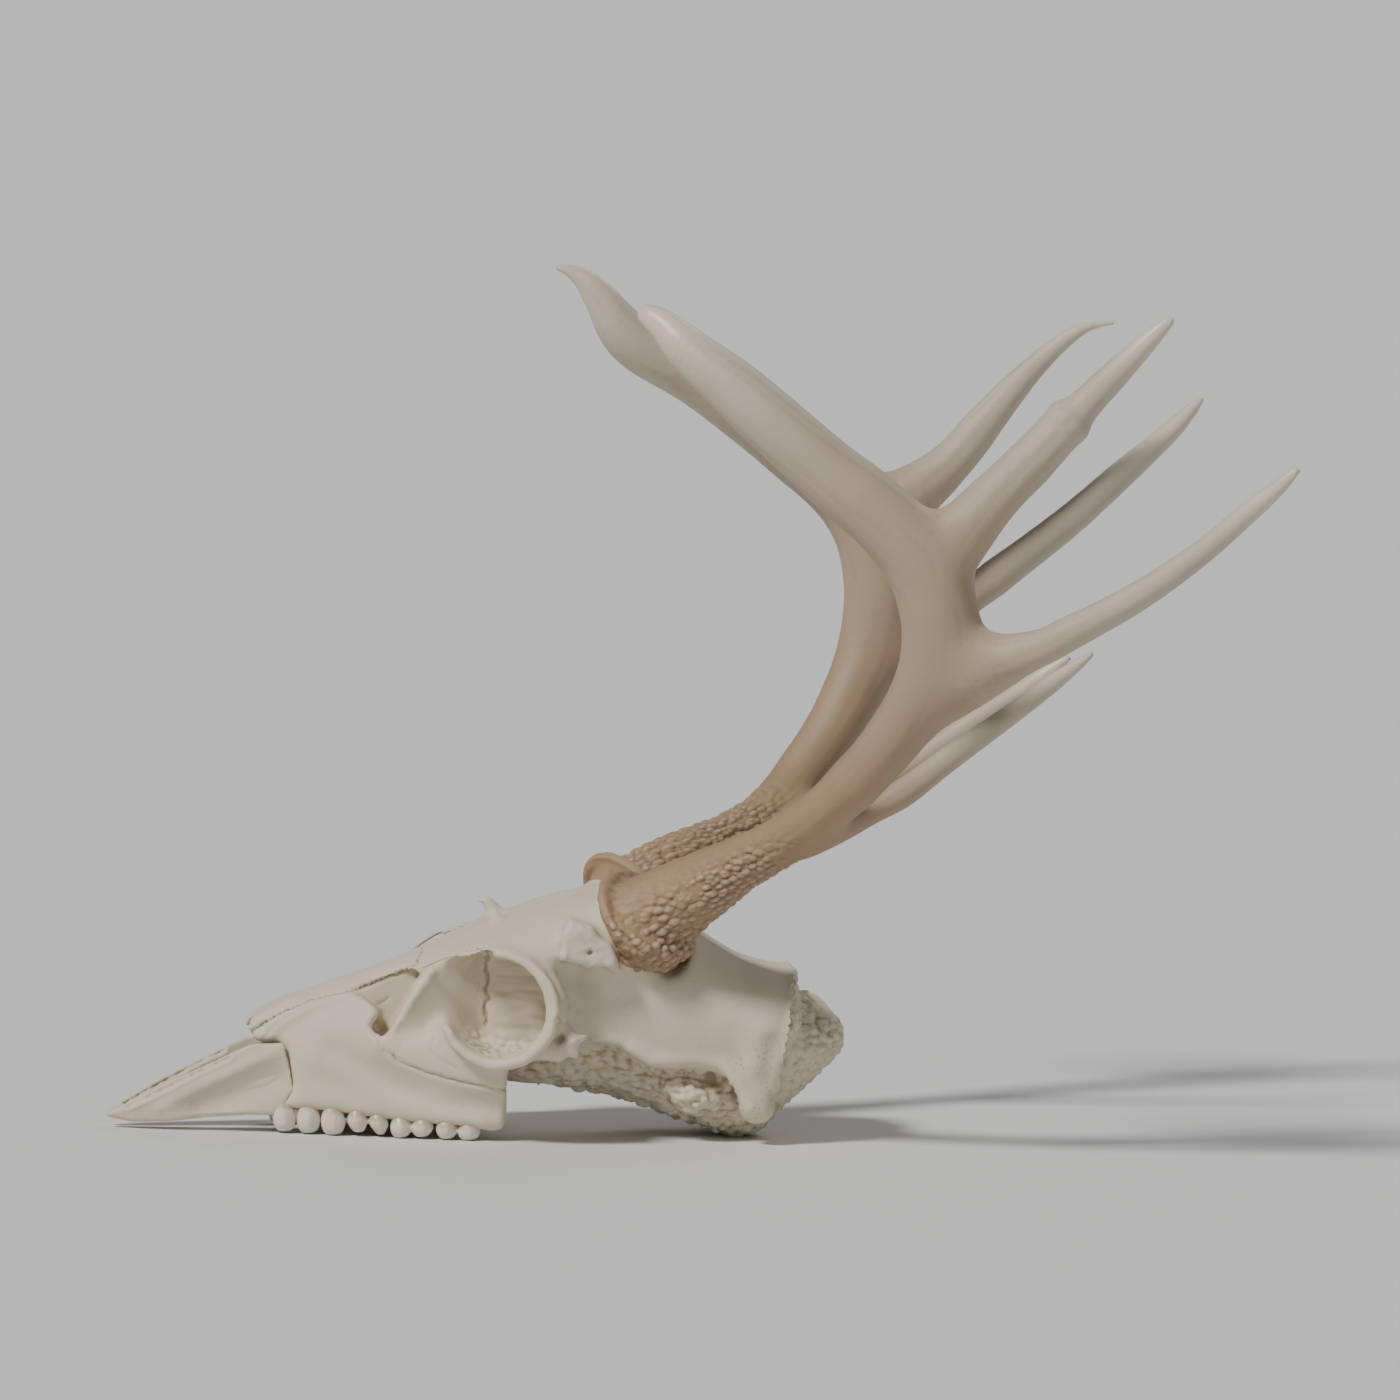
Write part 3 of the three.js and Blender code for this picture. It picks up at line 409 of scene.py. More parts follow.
# ------------------------------------------------------------------ mesh helpers
def mesh_arrays(mesh):
    """Vertex places and normals in the skull frame, and the edges."""
    places = np.zeros(len(mesh.vertices) * 3, np.float32)
    mesh.vertices.foreach_get("co", places)
    normals = np.zeros(len(mesh.vertices) * 3, np.float32)
    mesh.vertex_normals.foreach_get("vector", normals)
    edges = np.zeros(len(mesh.edges) * 2, np.int32)
    mesh.edges.foreach_get("vertices", edges)
    points = to_skull(places.reshape(-1, 3).astype(float))
    return points, normals.reshape(-1, 3).astype(float) @ TILT_ROWS, edges.reshape(-1, 2)


def write_points(mesh, points):
    """Moves the vertices to skull-frame points, but none of them into the floor."""
    places = to_world(points)
    places[:, 2] = np.maximum(places[:, 2], FLOOR_CLEARANCE)
    mesh.vertices.foreach_set("co", places.astype(np.float32).ravel())
    mesh.update()


def paint(mesh, name, values):
    """Stores one number for each vertex, for the materials to read."""
    layer = mesh.attributes.new(name, "FLOAT", "POINT")
    layer.data.foreach_set("value", np.asarray(values, np.float32))


def relax(values, edges, steps, pull, weight=1.0):
    """Moves each vertex value towards the mean of its neighbours'."""
    count = len(values)
    columns = values.reshape(count, -1).copy()
    a, b = edges[:, 0], edges[:, 1]
    degree = np.maximum(np.bincount(a, minlength=count) + np.bincount(b, minlength=count), 1)
    share = np.broadcast_to(np.asarray(weight, float), (count,)) * pull
    for _ in range(steps):
        for k in range(columns.shape[1]):
            total = np.bincount(a, columns[b, k], count) + np.bincount(b, columns[a, k], count)
            columns[:, k] += share * (total / degree - columns[:, k])
    return columns.reshape(values.shape)


def merged_nodes(names, swell):
    """One bmesh of copies of CAD nodes, grown a little so that neighbours fuse."""
    bm = bmesh.new()
    for name in names:
        bm.from_mesh(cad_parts[name].data)
    bmesh.ops.remove_doubles(bm, verts=bm.verts, dist=0.001 * MM)
    bm.normal_update()
    for vertex in bm.verts:
        vertex.co += vertex.normal * swell
    return bm


def smooth_path(rows, steps):
    """Points along a smooth curve through rows, radii included."""
    rows = np.array(rows, float)
    padded = np.vstack([2 * rows[0] - rows[1], rows, 2 * rows[-1] - rows[-2]])
    path = []
    for i in range(1, len(padded) - 2):
        a, b, c, d = padded[i - 1:i + 3]
        for t in np.arange(steps) / steps:
            path.append(0.5 * (2 * b + (c - a) * t + (2 * a - 5 * b + 4 * c - d) * t**2
                               + (3 * b - a - 3 * c + d) * t**3))
    path.append(padded[-2])
    path = np.array(path)
    path[:, 3] = np.maximum(path[:, 3], THINNEST_RADIUS)
    return path


def add_tube(bm, path, closed=False):
    """Adds a round tube along path, with its radii, to a bmesh in world metres."""
    curve = bpy.data.curves.new("shaft", "CURVE")
    curve.dimensions = "3D"
    curve.bevel_depth = 1.0
    curve.bevel_resolution = 6
    curve.use_fill_caps = True
    spline = curve.splines.new("POLY")
    spline.use_cyclic_u = closed
    spline.points.add(len(path) - 1)
    for point, place, radius in zip(spline.points, to_world(path[:, :3]), path[:, 3]):
        point.co = (*place, 1.0)
        point.radius = radius * MM
    holder = bpy.data.objects.new("shaft", curve)
    bpy.context.collection.objects.link(holder)
    bpy.context.view_layer.update()
    mesh = bpy.data.meshes.new_from_object(holder.evaluated_get(bpy.context.evaluated_depsgraph_get()))
    bm.from_mesh(mesh)
    bpy.data.objects.remove(holder)
    bpy.data.meshes.remove(mesh)


def new_piece(name, mesh):
    """Adds an object with this mesh to the scene."""
    piece = bpy.data.objects.new(name, mesh)
    bpy.context.collection.objects.link(piece)
    return piece


def baked(piece, name):
    """The piece's mesh with its modifiers applied."""
    bpy.context.view_layer.update()
    source = piece.evaluated_get(bpy.context.evaluated_depsgraph_get())
    mesh = bpy.data.meshes.new_from_object(source)
    mesh.name = name
    old = piece.data
    bpy.data.objects.remove(piece)
    bpy.data.meshes.remove(old)
    return mesh


def remeshed(bm, name, voxel):
    """One closed mesh of even quads round everything in the bmesh."""
    mesh = bpy.data.meshes.new(name)
    bm.to_mesh(mesh)
    bm.free()
    piece = new_piece(name, mesh)
    modifier = piece.modifiers.new("grid", "REMESH")
    modifier.mode = "VOXEL"
    modifier.voxel_size = voxel
    modifier.use_smooth_shade = True
    return baked(piece, name)


def finish_piece(name, mesh, material, slot, nodes):
    """Adds a finished mesh as the piece that takes the place of some CAD nodes."""
    mesh.name = name
    mesh.materials.clear()
    mesh.materials.append(material)
    mesh.shade_smooth()
    mesh.set_sharp_from_angle(angle=SHARP_EDGE)
    piece = new_piece(name, mesh)
    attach(piece, "root")
    if nodes:
        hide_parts(*nodes)
    return piece


def hollows(points, normals, edges, reach):
    """How far each vertex lies under its smoothed surroundings, in millimetres."""
    mean = relax(points, edges, reach, 0.6)
    return np.einsum("ij,ij->i", mean - points, normals)


def paint_hollows(mesh, seams_and_painted_shade=0.0):
    """Stores where bone is hollow, with seams and painted shade added, and where it is raised."""
    deep = hollows(*mesh_arrays(mesh), 8)
    paint(mesh, "hollow", deep * 1.6 + seams_and_painted_shade)
    # Raised places are painted lighter on bone, as a painted highlight.
    paint(mesh, "raised", -deep * 1.4)


# ------------------------------------------------------------------ materials
def add_node(tree, kind, place, **values):
    """Adds a shader node with values for its properties or inputs."""
    node = tree.nodes.new(kind)
    node.location = place
    for key, value in values.items():
        if hasattr(node, key):
            setattr(node, key, value)
        else:
            node.inputs[key.replace("_", " ")].default_value = value
    return node


def new_group(name, sockets_in, sockets_out):
    """An empty node group with named float or colour sockets."""
    group = bpy.data.node_groups.new(name, "ShaderNodeTree")
    for socket, kind, default in sockets_in:
        made = group.interface.new_socket(socket, in_out="INPUT", socket_type=kind)
        made.default_value = default
    for socket, kind in sockets_out:
        group.interface.new_socket(socket, in_out="OUTPUT", socket_type=kind)
    return group


def connect(tree, value, socket):
    """Links a node's output to a socket, or sets the socket's own value."""
    if isinstance(value, bpy.types.NodeSocket):
        tree.links.new(value, socket)
    else:
        socket.default_value = value


def calculated(tree, place, operation, first, second):
    """The result of a math node for two numbers or outputs."""
    node = add_node(tree, "ShaderNodeMath", place, operation=operation)
    connect(tree, first, node.inputs[0])
    connect(tree, second, node.inputs[1])
    return node.outputs[0]


def ramp(tree, place, value, low=0.0, high=1.0, bottom=0.0, top=1.0):
    """The result of a map range node, from bottom at low to top at high."""
    node = add_node(tree, "ShaderNodeMapRange", place)
    for socket, number in (("From Min", low), ("From Max", high), ("To Min", bottom), ("To Max", top)):
        node.inputs[socket].default_value = number
    tree.links.new(value, node.inputs["Value"])
    return node.outputs["Result"]


def noise_mask(tree, place, where, scale, detail):
    """Noise from 0 to 1 over the places that where gives."""
    node = add_node(tree, "ShaderNodeTexNoise", place, Scale=scale, Detail=detail)
    tree.links.new(where, node.inputs["Vector"])
    return node.outputs["Fac"]


def own_place(tree, place):
    """The places of the piece's surface in its own frame."""
    return add_node(tree, "ShaderNodeTexCoord", place).outputs["Object"]


def grain_group():
    """Pores and fine grain of bone: a height, a mask of dark pores and broad mottling."""
    if "Bone grain" in bpy.data.node_groups:
        return bpy.data.node_groups["Bone grain"]
    number = "NodeSocketFloat"
    group = new_group(
        "Bone grain",
        [("Pore size", number, 1.0), ("Pore amount", number, 0.5), ("Roughness of grain", number, 0.5)],
        [("Height", number), ("Pores", number), ("Mottle", number)])
    start = group.nodes.new("NodeGroupInput")
    end = group.nodes.new("NodeGroupOutput")
    place = own_place(group, (-900, 0))
    density = calculated(group, (-700, -200), "DIVIDE", 900.0, start.outputs["Pore size"])
    cells = add_node(group, "ShaderNodeTexVoronoi", (-500, -200), Randomness=1.0)
    group.links.new(place, cells.inputs["Vector"])
    group.links.new(density, cells.inputs["Scale"])
    patches = noise_mask(group, (-500, 100), place, 55.0, 5.0)
    fine = noise_mask(group, (-500, 350), place, 420.0, 6.0)
    holes = ramp(group, (-250, -200), cells.outputs["Distance"], 0.16, 0.34, 1.0, 0.0)
    where = ramp(group, (-250, 100), patches, 0.42, 0.68)
    found = calculated(group, (-50, -100), "MULTIPLY", holes, where)
    pores = calculated(group, (120, -100), "MULTIPLY", found, start.outputs["Pore amount"])
    rough = calculated(group, (120, 300), "MULTIPLY", fine, start.outputs["Roughness of grain"])
    height = calculated(group, (300, 100), "SUBTRACT", rough, pores)
    for name, value in (("Height", height), ("Pores", pores), ("Mottle", patches)):
        group.links.new(value, end.inputs[name])
    return group


def add_grain(tree, pore_size, pore_amount, roughness):
    """Places the grain group with its values in a material and returns its outputs."""
    grain = add_node(tree, "ShaderNodeGroup", (-900, -200), node_tree=grain_group())
    grain.inputs["Pore size"].default_value = pore_size
    grain.inputs["Pore amount"].default_value = pore_amount
    grain.inputs["Roughness of grain"].default_value = roughness
    return grain.outputs


def mixed(tree, place, mask, under, over, strength=None):
    """The colour that lies over another one by a mask, which strength may weaken."""
    node = add_node(tree, "ShaderNodeMix", place, data_type="RGBA", blend_type="MIX")
    if strength is not None:
        mask = calculated(tree, (place[0] - 180, place[1]), "MULTIPLY", mask, strength)
        mask.node.use_clamp = True
    tree.links.new(mask, node.inputs["Factor"])
    for socket, value in ((node.inputs[6], under), (node.inputs[7], over)):
        connect(tree, value if isinstance(value, bpy.types.NodeSocket) else (*value, 1.0), socket)
    return node.outputs[2]


def attribute_mask(tree, place, name, low, high):
    """The vertex numbers of an attribute as a mask from 0 to 1."""
    source = add_node(tree, "ShaderNodeAttribute", place, attribute_name=name)
    mask = ramp(tree, (place[0] + 180, place[1]), source.outputs["Fac"], low, high)
    mask.node.interpolation_type = "SMOOTHSTEP"
    return mask


def tinted(colour, factor):
    """The colour made brighter or darker."""
    return tuple(min(1.0, part * factor) for part in colour)


def surface_material(name, roughness):
    """A new material with its shader."""
    material = bpy.data.materials.new(name)
    material.use_nodes = True
    tree = material.node_tree
    shader = tree.nodes["Principled BSDF"]
    shader.inputs["Roughness"].default_value = roughness
    shader.inputs["Specular IOR Level"].default_value = 0.4
    return material, tree, shader


def add_bump(tree, shader, height, distance, strength):
    """Lets a height shape the surface's shading."""
    bump = add_node(tree, "ShaderNodeBump", (200, -400), Distance=distance, Strength=strength)
    tree.links.new(height, bump.inputs["Height"])
    tree.links.new(bump.outputs["Normal"], shader.inputs["Normal"])


def bone_material(name, settings):
    """Dry bone: mottled ivory with stained pores, darker seams and hollows, painted shade in broad hollows
    and orbits, and a painted highlight where raised.
    """
    if name in bpy.data.materials:
        return bpy.data.materials[name]
    warmth, pore_size, pore_amount, grain_height = BONE_LOOKS[name]
    material, tree, shader = surface_material(name, 0.62)
    bone = tuple(settings.bone_colour)
    stain = tuple(settings.stain_and_shade_colour)
    aged = (bone[0] * 0.9, bone[1] * (0.88 - 0.05 * warmth), bone[2] * (0.80 - 0.12 * warmth))
    grain = add_grain(tree, pore_size, pore_amount, 0.45)
    clouds = noise_mask(tree, (-900, 300), own_place(tree, (-1200, 300)), 14.0, 5.0)
    # The hollow mask darkens small hollows and seams, and holds painted shade in broad hollows and inside
    # the orbits.
    deep = attribute_mask(tree, (-900, 600), "hollow", 0.02, 0.9)
    # Painted highlight: raised bone is mixed towards a lighter bone colour.
    raised = attribute_mask(tree, (-900, 850), "raised", 0.05, 0.6)
    colour = mixed(tree, (-600, 300), clouds, tinted(bone, 1.08), aged)
    colour = mixed(tree, (-400, 300), grain["Mottle"], colour, tinted(bone, 0.9), 0.35)
    colour = mixed(tree, (-150, 300), deep, colour, stain, 0.75)
    colour = mixed(tree, (50, 300), grain["Pores"], colour, tinted(stain, 0.8), 0.8)
    colour = mixed(tree, (250, 300), raised, colour, tinted(bone, 1.1), 0.4)
    tree.links.new(colour, shader.inputs["Base Color"])
    add_bump(tree, shader, grain["Height"], grain_height * MM, 0.6)
    return material


def enamel_material(settings):
    """Tooth enamel: ivory crowns with brown stain by the gum and in the grooves."""
    material, tree, shader = surface_material("Tooth enamel", 0.3)
    enamel = tuple(settings.enamel_colour)
    stain = tuple(settings.stain_and_shade_colour)
    streaks = add_node(tree, "ShaderNodeMapping", (-900, 300))
    streaks.inputs["Scale"].default_value = (420.0, 420.0, 70.0)
    tree.links.new(own_place(tree, (-1100, 300)), streaks.inputs["Vector"])
    lines = noise_mask(tree, (-700, 300), streaks.outputs["Vector"], 1.0, 4.0)
    gum = attribute_mask(tree, (-900, 600), "gum", 0.25, 0.95)
    deep = attribute_mask(tree, (-900, 850), "hollow", 0.03, 0.5)
    dull = (enamel[0] * 0.86, enamel[1] * 0.80, enamel[2] * 0.66)
    colour = mixed(tree, (-400, 300), lines, tinted(enamel, 1.05), dull)
    colour = mixed(tree, (-150, 300), gum, colour, tinted(stain, 1.25), 0.75)
    colour = mixed(tree, (50, 300), deep, colour, tinted(stain, 0.6), 0.95)
    tree.links.new(colour, shader.inputs["Base Color"])
    add_bump(tree, shader, lines, 0.15 * MM, 0.35)
    return material


def antler_material(settings):
    """Antler: brown, dark between pale pearls at the base, paler and smoother to the tips."""
    material, tree, shader = surface_material("Antler", 0.48)
    base, tip = tuple(settings.base_colour), tuple(settings.tip_colour)
    grain = add_grain(tree, 0.8, 0.3, 0.6)
    clouds = noise_mask(tree, (-900, 300), own_place(tree, (-1200, 300)), 22.0, 6.0)
    far = attribute_mask(tree, (-900, 600), "along", 0.12, 0.75)
    polished = attribute_mask(tree, (-900, 850), "along", 0.78, 1.0)
    groove = attribute_mask(tree, (-900, 1100), "hollow", 0.03, 0.55)
    crest = attribute_mask(tree, (-900, 1350), "raised", 0.1, 0.7)
    fibre = attribute_mask(tree, (-900, 1600), "fibre", 0.0, 1.0)
    colour = mixed(tree, (-600, 300), clouds, tinted(base, 0.8), tinted(base, 1.45))
    colour = mixed(tree, (-400, 300), far, colour, tinted(tip, 0.78))
    colour = mixed(tree, (-200, 300), grain["Mottle"], colour, tinted(base, 1.2), 0.3)
    colour = mixed(tree, (0, 300), polished, colour, tip)
    colour = mixed(tree, (200, 300), groove, colour, tinted(base, 0.45), 0.75)
    colour = mixed(tree, (400, 300), crest, colour, tinted(tip, 0.9), 0.5)
    colour = mixed(tree, (600, 300), fibre, colour, tinted(base, 0.8), 0.14)
    tree.links.new(colour, shader.inputs["Base Color"])
    gloss = ramp(tree, (0, 0), polished, 0.0, 1.0, 0.58, 0.34)
    tree.links.new(gloss, shader.inputs["Roughness"])
    add_bump(tree, shader, grain["Height"], 0.18 * MM, 0.5)
    return material


# ------------------------------------------------------------------ skull bones
def orbit_frame(side):
    """Middle of the orbit, the way into it and the way across it to the back."""
    x, y, z = ORBIT_CENTRE
    middle = np.array([x, side * y, z])
    inwards = np.array([math.sin(ORBIT_TURN), -side * math.cos(ORBIT_TURN), 0.0])
    across = np.array([math.cos(ORBIT_TURN), side * math.sin(ORBIT_TURN), 0.0])
    return middle, inwards, across


def orbit_rows(rim, side):
    """Skull-frame points with radii for places given round the orbit's axis."""
    middle, inwards, across = orbit_frame(side)
    rows = []
    for angle, radius, depth, lip in rim:
        turn = math.radians(angle)
        place = middle + inwards * depth + across * radius * math.cos(turn)
        rows.append((place[0], place[1], place[2] + radius * math.sin(turn), lip))
    return rows


def add_orbit_rim(bm, side):
    """Adds the rounded lip round an orbit and the wall behind it."""
    lip = [*orbit_rows(ORBIT_RIM, side), *sided(BROW_RIM, side)]
    add_tube(bm, smooth_path(lip, 5))
    add_tube(bm, smooth_path(orbit_rows(ORBIT_WALL, side), 5))


def orbit_coordinates(points, side):
    """Depth into an orbit and distance from its axis."""
    middle, inwards, _ = orbit_frame(side)
    offset = points - middle
    depth = offset @ inwards
    return depth, np.linalg.norm(offset - depth[:, None] * inwards, axis=1)


def bone_classes(points, waviness):
    """Number of the CAD bone nearest to each point, with wavy borders between bones."""
    corners, faces, owner = [], [], []
    for number, name in enumerate(SKULL_BONES):
        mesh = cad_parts[name].data
        start = len(corners)
        corners.extend(vertex.co.copy() for vertex in mesh.vertices)
        faces.extend([start + k for k in polygon.vertices] for polygon in mesh.polygons)
        owner.extend([number] * len(mesh.polygons))
    tree = BVHTree.FromPolygons(corners, faces)
    shift = np.stack([soft_noise(points, 2.6, 40 + k) + 0.6 * soft_noise(points, 1.3, 50 + k)
                      for k in range(3)], axis=1)
    queries = to_world(points + waviness * shift)
    return np.array([owner[tree.find_nearest(Vector(q))[2]] for q in queries])


def suture_waviness(points):
    """Reach of the waves of the sutures in millimetres: less on the nose and behind."""
    x, _, z = folded(points)
    wave = 0.85 - 0.6 * fall(104, 116, x) * smoothstep(34, 38, z)
    wave *= 1.0 - 0.85 * smoothstep(226, 240, x)
    wave *= 1.0 - 0.8 * fall(34, 40, z) * (x > 160)
    return wave[:, None]


def connected_labels(classes, edges):
    """One number for each connected area of a bone."""
    same = edges[classes[edges[:, 0]] == classes[edges[:, 1]]]
    labels = np.arange(len(classes))
    while True:
        low = np.minimum(labels[same[:, 0]], labels[same[:, 1]])
        grown = labels.copy()
        np.minimum.at(grown, same[:, 0], low)
        np.minimum.at(grown, same[:, 1], low)
        grown = grown[grown]
        if np.array_equal(grown, labels):
            return labels
        labels = grown


def without_islands(classes, edges, smallest=500):
    """Gives small islands of one bone to the bone around them."""
    classes = classes.copy()
    for _ in range(40):
        labels = connected_labels(classes, edges)
        small = np.bincount(labels, minlength=len(labels))[labels] < smallest
        for a, b in ((0, 1), (1, 0)):
            front = edges[small[edges[:, a]] & ~small[edges[:, b]]]
            classes[front[:, a]] = classes[front[:, b]]
        if not small.any():
            break
    return classes


def keep_sharp(points):
    """Near 1 on thin or crisp places that smoothing should leave, 0 elsewhere."""
    view = side_view(points)
    _, width, z = folded(points)
    mask = np.zeros(len(points))
    for side in SIDES.values():
        depth, radius = orbit_coordinates(points, side)
        mask = np.maximum(mask, fall(3.5, 7.0, np.hypot(radius - ORBIT_RADIUS, depth + 2.0)))
    mask *= fall(1.0, 2.5, outline_depth(view, LACRIMAL_PLATE))
    process = smoothstep(-1.5, 0.0, outline_depth(view, PROCESS_OUTLINE)) * (width > 25)
    masks = [mask, 0.9 * process * fall(30.0, 38.0, z),
             smoothstep(-2.5, -0.5, outline_depth(view, BROW_PLATE)) * (width > 36),
             fall(2.0, 5.0, line_distance(view, VACUITY_EDGE)) * (width > 9)]
    for place, reach in DELICATE_PLACES:
        masks.append(fall(reach * 0.7, reach, distance_to(points, place)))
    return np.max(masks, axis=0)


def inside_outline(points, outline):
    """True for the side-view points inside a closed outline."""
    inside = np.zeros(len(points), bool)
    for (x0, z0), (x1, z1) in zip(outline, outline[1:] + outline[:1]):
        crosses = (points[:, 1] < z0) != (points[:, 1] < z1)
        reach = x0 + (points[:, 1] - z0) * (x1 - x0) / ((z1 - z0) or 1.0)
        inside ^= crosses & (points[:, 0] < reach)
    return inside


def outline_depth(points, outline):
    """Distance inside a closed outline, negative outside it."""
    gap = line_distance(points, list(outline) + [outline[0]])
    return np.where(inside_outline(points, tuple(outline)), gap, -gap)


def alveolar_height(points):
    """Height of the lower edge of the cheek bone at the points."""
    return np.interp(points[:, 0], *zip(*ALVEOLAR_EDGE))


def squash_tooth_stumps(points):
    """Flattens the plain tooth stumps, which lie inside the finished crowns."""
    x, width, z = folded(points)
    row = smoothstep(58, 60.5, x) * fall(139.5, 141, x) * smoothstep(6.5, 8.5, width)
    limit = alveolar_height(points)
    points[:, 2] = np.where(z < limit, z + row * (limit - z) * 0.86, z)
    return points


def open_orbit_front(points, normals):
    """Lays the front wall of each orbit on the plate behind the lacrimal crest."""
    a, b, c = PLATE_WIDTH
    width = np.abs(points[:, 1])
    outwards = normals[:, 1] * np.sign(points[:, 1])
    plate = a + b * points[:, 0] + c * points[:, 2]
    part = smoothstep(-0.8, 0.8, outline_depth(side_view(points), LACRIMAL_PLATE))
    near = (width > 17) & ((width > plate) | ((width > plate - 9.0) & (outwards > -0.2)))
    moved = width + part * (plate - width)
    points[:, 1] = np.sign(points[:, 1]) * np.where(near, moved, width)
    return points


def both(name):
    """The left and the right bone of a pair."""
    return [f"{name}_left", f"{name}_right"]


def of_bones(classes, names):
    """True where a point belongs to one of the named bones."""
    return np.isin(classes, [SKULL_BONES.index(name) for name in names])


def step_between(upper, own_upper, rise, drop):
    """Rise of the upper side and fall of the lower side of a stepped border."""
    over = np.where(own_upper, np.clip((1.0 - upper) * 2.0, 0, 1), 0.0)
    under = np.where(own_upper, 0.0, np.clip(upper * 2.0, 0, 1))
    return rise * over**1.5 - drop * under**1.2


def on_process(points):
    """1 on the smooth outer side of the paracondylar processes, 0 elsewhere."""
    depth = outline_depth(side_view(points), PROCESS_OUTLINE)
    return smoothstep(-0.6, 0.6, depth) * smoothstep(24.0, 27.0, np.abs(points[:, 1]))


def stepped_borders(points, classes, edges):
    """Raised and overhanging borders between bones."""
    total = np.zeros(len(classes))
    smooth = ~of_bones(classes, BASE_BONES) | (on_process(points) > 0.5)
    nasal = of_bones(classes, both("nasal"))
    for own, steps, rise, drop in ((smooth, 7, 1.0, 2.0), (nasal, 5, 0.8, 1.6)):
        total += step_between(relax(own.astype(float), edges, steps, 0.5), own, rise, drop)
    return total


def suture_field(points, classes, edges):
    """Up to 1 on the borders between bones, fainter on the braincase."""
    border = np.zeros(len(classes))
    differs = classes[edges[:, 0]] != classes[edges[:, 1]]
    border[edges[differs].ravel()] = 1.0
    border *= (1.0 - 0.6 * smoothstep(168, 180, points[:, 0])) * (1.0 - on_process(points))
    border *= outline_depth(side_view(points), LACRIMAL_PLATE) < -1.0
    for side in SIDES.values():
        depth, radius = orbit_coordinates(points, side)
        border *= (depth < 0.3) | (radius > 23.5) | (points[:, 1] * side < 0)
    return np.clip(relax(border, edges, 1, 0.5) * 1.2, 0.0, 1.0)


def rough_mask(points, classes, edges):
    """Where the bone of the skull base is lumpy: all but its processes and its openings' rims."""
    x, _, z = folded(points)
    own = of_bones(classes, BASE_BONES)
    mask = np.where(own, smoothstep(0.35, 0.9, relax(own.astype(float), edges, 5, 0.5)), 0.0)
    mask *= (1.0 - on_process(points)) * (1.0 - 0.1 * smoothstep(250, 258, x))
    middle, half_width, half_height = SPINAL_OPENING
    spinal = np.hypot(points[:, 1] / half_width, (z - middle) / half_height)
    mask *= np.where(x > 250, smoothstep(0.95, 1.25, spinal), 1.0)
    middle, half_length, half_width = CHOANA
    choana = np.hypot((x - middle) / half_length, points[:, 1] / half_width)
    return mask * np.where(z < 36, smoothstep(0.7, 1.1, choana), 1.0)


def lumps(points):
    """Rounded stucco-like relief of rough bone, about -1 to 1, with cracks under the base."""
    large = cell_distance(points, (5.2, 4.6, 3.6), 5)
    small = cell_distance(points, (3.0, 2.8, 2.6), 9)
    cracks = fall(0.0, 0.13, np.abs(cloud_noise(points, (30, 16, 6.5), 23)))
    cracks *= fall(232, 244, points[:, 0])
    domes = 1.3 - 3.4 * large**2 - 2.0 * small**2 + 0.6 * cloud_noise(points, 9.0, 27)
    return np.clip(domes, -1.3, 1.3) - 1.2 * cracks


def bone_relief(points, classes, edges, settings):
    """Lumps of the rough bones, borders, sutures and a slight unevenness of smooth bone."""
    mask = rough_mask(points, classes, edges)
    relief = settings.lump_height / MM * mask * lumps(points)
    relief += stepped_borders(points, classes, edges)
    relief -= settings.suture_depth / MM * suture_field(points, classes, edges)
    return relief + 0.12 * cloud_noise(points, 9.0, 71) * (1.0 - mask)


def crest_relief(points, normals, classes):
    """The lip of the maxilla round the opening in front of the eye, and the lacrimal crest."""
    width = np.abs(points[:, 1])
    outside = normals[:, 1] * points[:, 1] > 0
    lip = line_distance(side_view(points), MAXILLA_LIP)
    crest = line_distance(side_view(points), LACRIMAL_CREST)
    on_maxilla = of_bones(classes, both("maxilla")) & outside & (width > 8)
    return 0.9 * bell(lip - 1.2, 1.7) * on_maxilla + 1.3 * bell(crest, 1.7) * (outside & (width > 17))


def porous_relief(points, normals):
    """Pores of the strip on the brow between the antlers."""
    x, width, _ = folded(points)
    strip = smoothstep(158, 166, x) * fall(184, 192, x) * fall(7, 15, width) * (normals[:, 2] > 0.4)
    pits = fall(0.15, 0.5, cell_distance(points, 2.3, 31))
    return strip * (0.3 * soft_noise(points, 4.0, 33) - 0.75 * pits)


def orbit_relief(points, side):
    """Relief and shade in an orbit: lumpy floor, streaked back wall and a crack between bones."""
    x, _, z = folded(points)
    own = points[:, 1] * side > 0
    depth, radius = orbit_coordinates(points, side)
    inside = smoothstep(3, 7, depth) * fall(21, 23, radius) * own
    floor = smoothstep(1.5, 4, depth) * fall(20, 22, radius) * own
    low = fall(36, 43, z + 0.15 * (x - 150))
    streak = soft_noise(points, (10.0, 10.0, 1.9), 63) + 0.5 * soft_noise(points, (6.0, 6.0, 1.2), 64)
    crack = x - ORBIT_SUTURE - 0.9 * soft_noise(points, 3.0, 65) - 0.5 * soft_noise(points, 1.4, 66)
    relief = floor * low * 1.9 * (0.6 - cell_distance(points, 3.0, 61)**1.5)
    relief += inside * (1.0 - low) * smoothstep(145, 148, x) * 0.5 * streak
    relief -= inside * smoothstep(42, 45, z) * 1.3 * bell(crack, 0.7)
    return relief, inside * np.where(x < 144, 1.0, 0.5)


def face_relief(points, normals):
    """Broad forms of the cheek and temple, and fine lines on the side of the face."""
    width = np.abs(points[:, 1])
    sideways = np.abs(normals[:, 1])
    relief = np.zeros(len(points))
    for height, reach, line in CHEEK_FORMS:
        relief += height * bell(line_distance(side_view(points), line), reach)
    relief *= smoothstep(0.1, 0.5, sideways) * (width > 10)
    shaken = shaken_view(points, 0.3, 3.0, 91)
    facing = smoothstep(0.15, 0.4, sideways) * (width > 8)
    for depth, reach, line in FACE_LINES:
        relief -= depth * facing * bell(line_distance(shaken, line), reach)
    return relief


